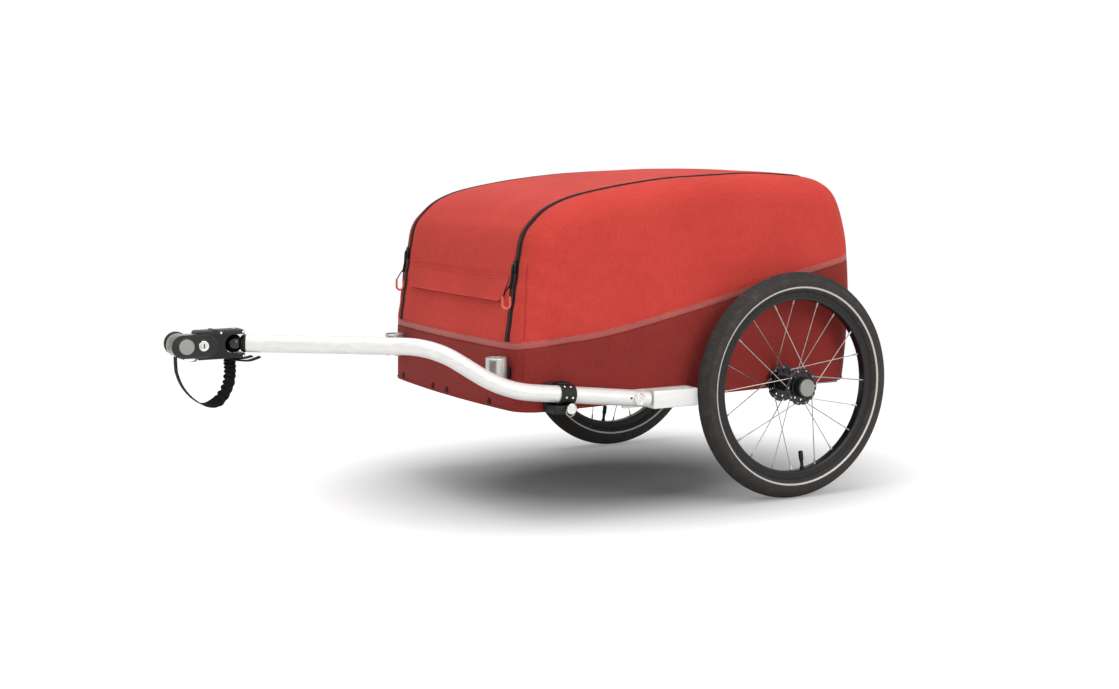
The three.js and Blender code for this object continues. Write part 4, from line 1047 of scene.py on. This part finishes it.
def receptacle(label, x):
    y, low, high = receptacle_y, receptacle_low, receptacle_high
    piece = turned(label, mm(
        (19, 0), (21.4, 0), (22, 0.6), (22, 47), (21.4, 48.9), (20.2, 49.8), (19, 50), (19, 0)
    ), (x, y, low), (0, 0, 1), steps=48, angle=30)

    def is_flute(polygon):
        spot = polygon.center - Vector((x, y, 0))
        step = int((atan2(spot.y, spot.x) + pi) / (2 * pi / 48))
        tall = low + 0.002 < spot.z < high - 0.004
        return tall and sqrt(spot.x ** 2 + spot.y ** 2) > 0.0215 and spot.y < 0.012 and step % 3 != 0

    choose(piece, is_flute)
    bpy.ops.mesh.inset(thickness=0.0004, depth=-0.0007, use_individual=False)
    release_all()
    # a spacer strip between receptacle and cloth, made black to stand in for the shade beside the receptacle
    shade_spacer = rounded_block("shade_spacer", (x - 0.005, y + 0.0190, low + 0.004), (x + 0.005, y + 0.036, high - 0.022),
                        0.0015)
    slot = rounded_block("slot", (-0.0080, -0.040, low - 0.002), (0.0070, -0.0100, high - 0.0045), 0.002)
    slot.data.transform(Matrix.Translation((x, y, 0)) @ Matrix.Rotation(radians(47), 4, "Z"))
    return piece, shade_spacer, slot


def shade_spacer_to_wall(shade_spacer):
    for vertex in shade_spacer.data.vertices:
        if vertex.co.y > -0.115:
            vertex.co.y = front_hit(vertex.co.x, vertex.co.z)[0].y - 0.0008
    return shade_spacer


for build, *looks in (
        (drawbar, white_alloy, "drawbar", "silver", "drawbar_tube"),
        (bar_plug, dark_stud, "drawbar", "black_plastic"),
        (clamp, black_plastic, "frame", "black_plastic", "front_clamp"),
        (clamp_rivets, bright_steel, "frame", "steel"),
        (locking_pin, bright_steel, "locking_pin", "steel", "locking_pin"),
        (split_ring, bright_steel, "locking_pin", "steel", "pin_ring"),
        (hitch_pin, bright_steel, "drawbar", "steel", "hitch_pin"),
        (bracket, white_alloy, "frame", "silver", "rear_bracket")):
    finish(build(), *looks)
for label, x in (("receptacle_left", 0.285), ("receptacle_right", -0.235)):
    fluted, shade_spacer, slot = receptacle(label + "_fluted", x)
    cut_with(fluted, slot)
    smooth(fluted, 30)
    finish(fluted, cast_alloy, "frame", "silver", label)
    cut_with(shade_spacer, pin("space", (x, receptacle_y, 0.28), (x, receptacle_y, 0.35), 0.0221, sides=48))
    # painted shade: the spacer's black finish stands in for the shadow between receptacle and cloth
    finish(settle(shade_spacer_to_wall(shade_spacer), label + "_lug"), black_plastic, "frame", "silver", label)

# Coupling head

head_level = 0.38885
head_middle = -0.7425
button_y = -0.7595
key_y = -0.7255
ball = Vector((0.17017, -0.6598, head_level))


def oblong(x, length, height, steps=14):
    radius = height / 2
    reach = length / 2 - radius
    points = []
    for end in (1, -1):
        for i in range(steps + 1):
            angle = pi * (i / steps - 0.5) + (0 if end > 0 else pi)
            points.append((x, head_middle + end * reach + radius * cos(angle),
                           head_level + radius * sin(angle)))
    return points


def collar():
    return turned("bar_collar", mm(
        (11.4, -34), (15, -34), (15, 0.3), (17.4, 0.3), (18, 1), (18, 4), (17.2, 5.2), (16, 6.2),
        (16.6, 7.2), (15.6, 8.6), (14.2, 9.1), (11.4, 9.1), (11.4, -34)
    ), bar_tip, tip_run, angle=30)


def swivel():
    profile = [(0, -0.034), (0.0105, -0.034), (0.0110, -0.0335), (0.0110, 0.0085)]
    for i in range(1, 17):
        angle = pi - 0.64 - (pi - 0.64) * i / 16
        profile.append((0.0185 * sin(angle), 0.024 + 0.0185 * cos(angle)))
    piece = turned("swivel_ball_turned", profile, bar_tip, tip_run, steps=48, angle=50)
    cut_with(piece, pin("hole", ball - Vector((0, 0, 0.03)), ball + Vector((0, 0, 0.03)), 0.0068))
    smooth(piece, 50)
    return piece


def yoke():
    arch_x, arch_y, arch_radius = 0.13, -0.6637, 0.0191
    piece = rounded_block("coupling_yoke_body", (0.1492, -0.7378, 0.3608), (0.1912, -0.6418, 0.4170),
                          0.0052, 4)
    arch = [(arch_x, -0.60, head_level - arch_radius), (arch_x, -0.60, head_level + arch_radius)]
    for i in range(17):
        angle = pi / 2 + pi * i / 16
        arch.append((arch_x, arch_y + arch_radius * cos(angle), head_level + arch_radius * sin(angle)))
    cut_with(piece, plate("arch", arch, (0.08, 0, 0)))
    cut_with(piece, plate("pocket", oblong(0.1527, 0.0926, 0.0466), (0.08, 0, 0)))
    rib = rounded_block("rib", (0.150, -0.7040, 0.4150), (0.1904, -0.6960, 0.4182), 0.001)
    cut_with(piece, rib, "UNION")
    smooth(piece, 30)
    return piece


def yoke_screws():
    profile = mm((0, 0), (2.3, 0), (2.3, 0.8), (1.5, 1.4), (0.8, 1), (0, 1))
    made = [turned("screw", profile, (0.1911, y, z), steps=18)
            for y, z in ((-0.6460, 0.4124), (-0.6460, 0.3653), (-0.6900, 0.4124))]
    return settle(join(*made), "yoke_screws")


def sleeve():
    piece = turned("coupling_sleeve_turned", mm(
        (0, 124), (20.4, 124), (21, 124.6), (21, 156), (0, 156)
    ), (0, button_y, head_level), steps=64)
    cut_with(piece, plate("sleeve_plate", oblong(0.1527, 0.092, 0.043), (0.0198, 0, 0), 0.002, 3), "UNION")
    cut_with(piece, pin("bore", (0.11, button_y, head_level), (0.160, button_y, head_level), 0.013, sides=48))
    smooth(piece, 30)
    return piece


def mouth():
    return turned("mouth_ring_turned", mm(
        (13.5, 116), (22.1, 116), (23, 117), (23, 122.8), (22.2, 123.7), (13.5, 123.7), (13.5, 116)
    ), (0, button_y, head_level), steps=64, angle=25)


def cover():
    piece = plate("coupling_cover_body", oblong(0.173, 0.092, 0.046), (0.022, 0, 0))
    choose(piece, lambda polygon: polygon.normal.x > 0.99)
    bpy.ops.mesh.inset(thickness=0.0030)
    bpy.ops.transform.translate(value=(-0.0014, 0, 0))
    release_all()
    round_edges(piece, 0.0009, 2)
    for y, radius, floor in ((button_y, 0.0156, 0.1780), (key_y, 0.0103, 0.1766)):
        boss = turned("boss", [
            (0, 0.180), (radius + 0.0022, 0.180), (radius + 0.0022, 0.1943), (radius + 0.0014, 0.1950),
            (0, 0.1950),
        ], (0, y, head_level), steps=48)
        cut_with(piece, boss, "UNION")
        cut_with(piece, pin("well", (floor, y, head_level), (0.21, y, head_level), radius, sides=48))
    smooth(piece, 30)
    return piece


def button():
    return turned("push_button_cap", mm(
        (0, 177.2), (6, 177.2), (6, 186), (14.6, 186), (15, 186.4), (15, 196.8), (14.3, 197.7),
        (13, 197.9), (0, 198)
    ), (0, button_y, head_level), steps=48, angle=25)


def lock():
    piece = turned("lock_barrel", mm(
        (0, 176.8), (10, 176.8), (10, 195.7), (9.3, 196.4), (7.2, 196.5), (6.8, 196.1), (0, 196.1)
    ), (0, key_y, head_level), steps=40, angle=25)
    cut_with(piece, rounded_block("key_slot", (0.1900, key_y - 0.0013, head_level - 0.0046),
                                  (0.2000, key_y + 0.0013, head_level + 0.0046), 0.0008))
    smooth(piece, 25)
    return piece


def key_way():
    return rounded_block("key_way", (0.1880, key_y - 0.00125, head_level - 0.0045),
                         (0.1955, key_y + 0.00125, head_level + 0.0045), 0.0007)


strap_shares = [
    (0, 0), (0, 0.14), (0.02, 0.35), (0.12, 0.62), (0.3, 0.86), (0.52, 1), (0.78, 0.93), (0.95, 0.66),
    (1, 0.38), (1, 0.18), (1, 0),
]


def strap_route():
    x, top, low, front, rear = 0.161, 0.3676, 0.270, -0.7725, -0.6645
    points = [(x, front + (rear - front) * along, top - (top - low) * down) for along, down in strap_shares]
    points[-1] = (x, rear, 0.3602)
    return curve_through(points, 16)


def swept_band(name, route, width, turn_at=None, pleat_at=None, across=6, thickness=0.0022):
    count = len(route)
    bpy.ops.mesh.primitive_grid_add(x_subdivisions=count - 1, y_subdivisions=across, size=1)
    band = bpy.context.object
    for vertex in band.data.vertices:
        step = round((vertex.co.x + 0.5) * (count - 1))
        side = vertex.co.y
        here = Vector(route[step])
        run = (Vector(route[min(step + 1, count - 1)]) - Vector(route[max(step - 1, 0)])).normalized()
        sideways = Vector((1, 0, 0))
        out = run.cross(sideways).normalized()
        share = step / (count - 1)
        turn = turn_at(share) if turn_at else 0.0
        pleat = pleat_at(share, side) if pleat_at else 0.0
        reach = side * (width(share) if callable(width) else width)
        wide = sideways * cos(turn) + out * sin(turn)
        thin = out * cos(turn) - sideways * sin(turn)
        vertex.co = here + wide * reach + thin * pleat
    settle(band, name)
    apply_modifier(band, "SOLIDIFY", thickness=thickness, offset=0, use_rim=True)
    edit(band)
    face_outwards()
    round_edges(band, 0.0005, 2, 50)
    smooth(band, 60)
    return band


def safety_strap():
    def width(share):
        pleats = 1 + 0.10 * sin(share * 150) * ease(share, 0.55, 0.62)
        return between(0.017, 0.0225, ease(share, 0.48, 0.6)) * pleats

    def turn_at(share):
        return (pi / 2) * ease(share, 0.45, 0.66)

    def pleat_at(share, side):
        gathered = ease(share, 0.54, 0.62) * (1 - ease(share, 0.95, 1.0))
        return gathered * (0.0028 * sin(share * 150 + side * 1.8) + 0.0008 * sin(share * 97 + side * 9))

    return swept_band("safety_strap_band", strap_route(), width, turn_at, pleat_at)


def strap_tail(name, x, drop, length):
    start = -0.676
    points = [
        (x, start, 0.3590), (x, start + length * 0.3, 0.3572 - drop * 0.4),
        (x, start + length * 0.65, 0.3570 - drop), (x + 0.002, start + length * 0.9, 0.3590 - drop * 0.4),
        (x + 0.003, start + length, 0.3606),
    ]
    return swept_band(name, curve_through(points, 6), 0.017)


def strap_tail_long():
    return strap_tail("strap_tail_long", 0.178, 0.0035, 0.066)


def strap_tail_short():
    return strap_tail("strap_tail_short", 0.160, 0.0005, 0.056)


def strap_hook():
    x = 0.188
    points = [(x, -0.7655, 0.3652), (x, -0.7600, 0.3610), (x, -0.7500, 0.3590), (x, -0.7420, 0.3600),
              (x, -0.7385, 0.3640)]
    return swept_band("strap_clip_bent", curve_through(points, 5), 0.013, thickness=0.0014)


for build, *looks in (
        (collar, black_plastic, "drawbar", "black_plastic", "drawbar_collar"),
        (swivel, gloss_black, "swivel", "glossy_black", "swivel_ball"),
        (yoke, black_plastic, "coupling_head", "black_plastic", "coupling_yoke"),
        (yoke_screws, bright_steel, "coupling_head", "steel"),
        # the sleeve's steel carries a painted reflection of the red cloth as a brown tint
        (sleeve, reflection_tinted_sleeve_steel, "coupling_head", "steel", "coupling_sleeve"),
        (mouth, black_plastic, "coupling_head", "black_plastic", "mouth_ring"),
        (cover, gloss_black, "coupling_head", "black_plastic", "coupling_cover"),
        (button, grey_cap, "head_button", "grey_plastic", "push_button"),
        (lock, bright_steel, "lock", "steel", "lock_cylinder"),
        (key_way, gloss_black, "lock", "glossy_black"),
        (safety_strap, black_web, "coupling_head", "black_webbing", "safety_strap"),
        (strap_tail_long, black_web, "coupling_head", "black_webbing"),
        (strap_tail_short, black_web, "coupling_head", "black_webbing"),
        (strap_hook, bright_steel, "coupling_head", "steel", "strap_clip")):
    finish(build(), *looks)

# Sewn trims on the textile box


def sewn(piece, material, body, slot, *replaced):
    finish(piece, material, body, slot, *replaced)
    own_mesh(piece)
    return piece


def around(level_shift, lift=0.0005, count=150, level_of=band_level):
    points = []
    for i in range(count):
        angle = 2 * pi * i / count
        heading = Vector((cos(angle), sin(angle), 0))
        middle_y, level = box_heart
        for _ in range(4):
            level = level_of(cloth_hit((0, middle_y, level), heading)[0].y) + level_shift
        spot, normal = cloth_hit((0, middle_y, level), heading)
        points.append(spot + normal * lift)
    return points


def seam(name, points, radius, sides=8, closed=False):
    return tube(name, points, radius, sides=sides, closed=closed)


def side_line(side, marks, lift=0.0004, count=24):
    points = []
    for (y0, z0), (y1, z1) in zip(marks, marks[1:]):
        for i in range(count + 1):
            share = i / count
            spot, normal = cloth_hit((side * ray_start, between(y0, y1, share), between(z0, z1, share)),
                                     (side, 0, 0))
            if spot is not None:
                points.append(spot + normal * lift)
    return points


def hem_level(y):
    return bag_bottom + (y - bag_front) * bag_rear_lift / bag_length + 0.0035


# the upper band rib uses the lighter seam cloth, a painted highlight along the cover's hem edge
sewn(seam("band_rib_top", around(band_half), 0.0009, closed=True), highlight_seam_cloth, "frame", "red_fabric")
sewn(seam("band_rib_low", around(-band_half), 0.0009, closed=True), dark_cloth, "frame", "dark_red_fabric")
sewn(seam("bottom_binding", around(0, level_of=hem_level), 0.0017, closed=True), dark_cloth, "frame",
     "dark_red_fabric")
for side, label in ((1, "left"), (-1, "right")):
    # side seams use the darker fold cloth, a painted shade line along the fold
    sewn(seam("side_seam_" + label, side_line(side, [(-0.0790, 0.530), (-0.0940, 0.3765)]), 0.0006),
         fold_shade_cloth, "frame", "red_fabric")
    sewn(seam("tub_seam_" + label, side_line(side, [(-0.0950, 0.3595), (-0.1000, 0.245)]), 0.0007),
         dark_cloth, "frame", "dark_red_fabric")

# Zips: teeth, welts, sliders and pulls

zip_middle = 0.2705
zip_start, zip_end = -0.55, 2.62
slider_level = 0.522
tab_top, tab_end = 0.526, 0.479
cord_top, loop_level, loop_lift = 0.486, 0.4450, 0.0108
pull_sway = -0.0035


def zip_path(x, lift, count=110):
    whole = round_the_box(x, lift, zip_start, zip_end, count)
    return [spot for spot in whole if spot.z > band_level(spot.y) + band_half + 0.0005 and spot.y < hinge_y]


def even_spots(points, pitch):
    spots = []
    spare = 0.0
    for here, after in zip(points, points[1:]):
        run = (after - here).length
        along = spare
        while along < run:
            spots.append((between(here, after, along / run), (after - here).normalized()))
            along += pitch
        spare = along - run
    return spots


def zip_teeth(label, x):
    tooth = rounded_block("tooth", (-0.0034, -0.0012, -0.0010), (0.0034, 0.0012, 0.0010), 0.0005, 1)
    made = []
    for spot, run in even_spots(zip_path(x, 0.0006), 0.0036):
        frame_turn = Matrix(((1, 0, 0), (0, run.y, -run.z), (0, run.z, run.y))).to_4x4()
        made.append(turned_copy(tooth, "tooth", Matrix.Translation(spot) @ frame_turn))
    bpy.data.objects.remove(tooth)
    return settle(join(*made), label)


def on_front(x, z, lift):
    spot, normal = front_hit(x, z)
    return spot + normal * lift


def slider_body(side, label):
    spot, normal = front_hit(side * zip_middle, slider_level)
    out = normal.normalized()
    up = Vector((0, -out.z, out.y)).normalized()
    if up.z < 0:
        up = -up
    lean = Matrix((Vector((1, 0, 0)), -out, up)).transposed().to_4x4()
    body = rounded_block("slider", (-0.0065, -0.0068, -0.011), (0.0065, -0.0014, 0.011), 0.0022)
    waist = rounded_block("waist", (-0.0040, -0.0062, 0.006), (0.0040, -0.0016, 0.0165), 0.0018)
    cut_with(body, waist, "UNION")
    bridge = rounded_block("bridge", (-0.0022, -0.0098, -0.0080), (0.0022, -0.0040, 0.0080), 0.0016)
    cut_with(body, bridge, "UNION")
    smooth(body, 40)
    body.data.transform(Matrix.Translation(spot) @ lean)
    return settle(body, "zip_slider_body_" + label)


def pull_tab(x, sway, name):
    route = [on_front(x + sway * share, between(tab_top, tab_end, share), 0.0082 - 0.0022 * share)
             for share in (0, 0.2, 0.4, 0.6, 0.8, 1)]
    return swept_band(name, curve_through([tuple(spot) for spot in route], 3),
                      lambda share: between(0.0070, 0.0092, share), across=4, thickness=0.0034)


loop_spread = Vector((0.6, 0.8, 0))
loop_half = 0.0078


def loop_middle(x, sway):
    return on_front(x + sway, loop_level, loop_lift)


def pull_cords(x, sway, name):
    made = []
    for side in (1, -1):
        start = on_front(x + sway + side * 0.0020, cord_top, 0.0060)
        end = loop_middle(x, sway) + loop_spread * (loop_half * side) + Vector((0, 0, 0.0145))
        points = [between(start, end, share) + Vector((0, -0.0012 * sin(pi * share), 0))
                  for share in (0, 0.3, 0.65, 1)]
        made.append(tube(name, curve_through([tuple(spot) for spot in points], 4), 0.0013, sides=10))
    return settle(join(*made), name)


def pull_loop(x, sway, name):
    middle, rise = loop_middle(x, sway), Vector((0, 0, 0.0165))
    points = [middle + loop_spread * loop_half + rise]
    for i in range(25):
        angle = pi * i / 24
        points.append(middle + loop_spread * (0.0082 * cos(angle)) - Vector((0, 0, 0.0085 * sin(angle))))
    points.append(middle - loop_spread * loop_half + rise)
    return tube(name, points, 0.0025, sides=12)


for side, label in ((1, "left"), (-1, "right")):
    body_name, slider_node = "slider_" + label, "zip_slider_" + label
    sewn(zip_teeth("zip_teeth_" + label, side * zip_middle), zip_metal, "frame", "zip_tape")
    for edge, x, body in (("outer_", zip_outer + 0.0006, "frame"), ("inner_", zip_inner - 0.0006, "lid")):
        # zip welts use the lighter seam cloth, a painted highlight along the piping beside each zip
        welt = seam("zip_welt_" + edge + label, zip_path(side * x, 0.0004), 0.0009)
        sewn(welt, highlight_seam_cloth, body, "red_fabric")
    sewn(slider_body(side, label), black_plastic, body_name, "black_plastic", slider_node)
    for build, name, look, slot in ((pull_tab, "pull_tab_", black_web, "black_webbing"),
                                    (pull_cords, "pull_cords_", black_web, "black_webbing"),
                                    (pull_loop, "pull_loop_", loop_cord, "red_fabric")):
        sewn(build(side * zip_middle, pull_sway, name + label), look, body_name, slot, slider_node)

hinge_line = []
for i in range(61):
    x = between(-zip_outer, zip_outer, i / 60)
    spot, normal = cloth_hit((x, hinge_y, 0.5), (0, 0, 1))
    hinge_line.append(spot + normal * 0.0006)
# hinge seam uses the lighter seam cloth, a painted highlight along the seam
sewn(seam("hinge_seam", hinge_line, 0.0012), highlight_seam_cloth, "frame", "red_fabric")

# Handle flap on the lid's front


flap_top = 0.5065
flap_drop = 0.056
flap_corner = 0.022
flap_lift = 0.0014


def flap_half(drop):
    straight = flap_drop - flap_corner
    half = between(0.244, 0.236, min(1.0, drop / straight))
    depth = drop - straight
    if depth > 0:
        half -= flap_corner - sqrt(max(0.0, flap_corner ** 2 - depth ** 2))
    return half


def flap_spot(across, drop, lift):
    spot, normal = front_hit(across * flap_half(drop), flap_top - drop)
    bow = 0.0062 * (drop / flap_drop) ** 2 * (1 + 0.25 * sin(across * 9))
    return spot + normal * (lift + bow)


def handle_flap():
    bpy.ops.mesh.primitive_grid_add(x_subdivisions=96, y_subdivisions=16, size=1)
    piece = bpy.context.object
    for vertex in piece.data.vertices:
        across, drop = vertex.co.x * 2, (0.5 - vertex.co.y) * flap_drop
        vertex.co = flap_spot(across, drop, 0.0012)
    settle(piece, "handle_flap_cloth")
    apply_modifier(piece, "SOLIDIFY", thickness=0.0018, offset=0, use_rim=True)
    edit(piece)
    face_outwards()
    smooth(piece, 50)
    return piece


def flap_binding():
    drops = [flap_drop * i / 30 for i in range(31)]
    edge = [flap_spot(-1, drop, flap_lift) for drop in drops]
    edge += [flap_spot(between(-1, 1, i / 60), flap_drop, flap_lift) for i in range(1, 60)]
    edge += [flap_spot(1, drop, flap_lift) for drop in reversed(drops)]
    return seam("flap_binding", edge, 0.0014)


def flap_top_seam(name, drop):
    return seam(name, [flap_spot(between(-1, 1, i / 60), drop, 0.0022) for i in range(61)], 0.0006)


sewn(handle_flap(), red_cloth, "flap", "red_fabric", "handle_flap")
# flap binding and stitches use the lighter seam cloth, a painted highlight on their edges
sewn(flap_binding(), highlight_seam_cloth, "flap", "red_fabric")
sewn(flap_top_seam("flap_stitch_upper", 0.0020), highlight_seam_cloth, "flap", "red_fabric")
sewn(flap_top_seam("flap_stitch_lower", 0.0080), highlight_seam_cloth, "flap", "red_fabric")

# Press studs, rear tab and rear strap


def press_stud(name, x, z):
    spot, normal = front_hit(x, z)
    return turned(name, mm(
        (0, -0.5), (7.8, -0.5), (8, 0.4), (7.2, 1.4), (5.8, 1.8), (4.8, 1.3), (3, 1.4), (2.2, 2),
        (0, 2.2)
    ), spot, normal, steps=28, angle=40)


stud_places = ((-0.2496, 0.2405), (-0.0658, 0.2385), (0.0080, 0.2385), (0.2047, 0.2390))
for number, (x, z) in enumerate(stud_places, 1):
    sewn(press_stud(f"press_stud_{number}", x, z), dark_stud, "frame", "dark_red_fabric")


def rear_spot(x, z, lift):
    return cloth_hit((x, 0.5, z), (0, 1, 0))[0] + Vector((0, 1, 0)) * lift


def rear_strap():
    route = []
    for i in range(25):
        share = i / 24
        z = between(0.345, 0.272, share)
        route.append(rear_spot(0.268, z, 0.0016 + 0.012 * sin(pi * share) ** 2))
    return swept_band("rear_strap_band", route, 0.016)


def rear_tab():
    route = []
    base = rear_spot(0.265, 0.537, 0.0003)
    for i in range(19):
        angle = pi * i / 18
        route.append(base + Vector((0, 0.0095 * sin(angle), 0.0042 * cos(angle))))
    return swept_band("rear_tab_loop", route, 0.006, across=4, thickness=0.0015)


sewn(rear_strap(), black_web, "frame", "black_webbing", "rear_strap")
sewn(rear_tab(), black_web, "frame", "black_webbing", "rear_tab")

# Hoops that carry the cover, and the frame's own parts


hoop_x = 0.299
hoop_radius = 0.007
eye_radius = 0.009
eye_half = Vector((0, 0.0085, 0))


def hoop(label, side, inset, foot):
    line = on_box(outline_shares)
    inner = []
    for before, here, after in zip(line, line[1:], line[2:]):
        run = Vector((0, after[0] - before[0], after[1] - before[1])).normalized()
        spot = Vector((0, here[0], here[1])) + Vector((0, run.z, -run.y)) * inset
        if spot.z > foot + 0.018:
            inner.append(spot)
    route = [Vector((0, inner[0].y, foot))] + inner + [Vector((0, inner[-1].y, foot))]
    path = [Vector((side * hoop_x, y, z)) for _, y, z in curve_through([tuple(spot) for spot in route], 5)]
    piece = tube("side_hoop_tube_" + label, path, hoop_radius, sides=16)
    for end in (path[0], path[-1]):
        cut_with(piece, pin("eye", end - eye_half, end + eye_half, eye_radius, 0.0012), "UNION")
    smooth(piece, 40)
    return piece


finish(hoop("left", 1, 0.029, 0.312), frame_alloy, "hoop_left", "silver", "side_hoop_left")
finish(hoop("right", -1, 0.055, 0.284), frame_alloy, "hoop_right", "silver", "side_hoop_right")


def dress(names, material):
    for name in names:
        nodes[name].data.materials.clear()
        nodes[name].data.materials.append(material)


dress(["side_rail_left", "side_rail_right", "cross_member_front", "cross_member_rear",
       "axle_socket_left", "axle_socket_right"], frame_alloy)
dress(["axle_beam", "axle_left", "axle_right", "hoop_pin_front_left", "hoop_pin_front_right",
       "hoop_pin_rear_left", "hoop_pin_rear_right", "swivel_pin"], bright_steel)
dress(["floor_panel"], board)

for label in ("tub", "band", "cover", "lid", "zip_left", "zip_right"):
    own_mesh(cloth_panels[label])
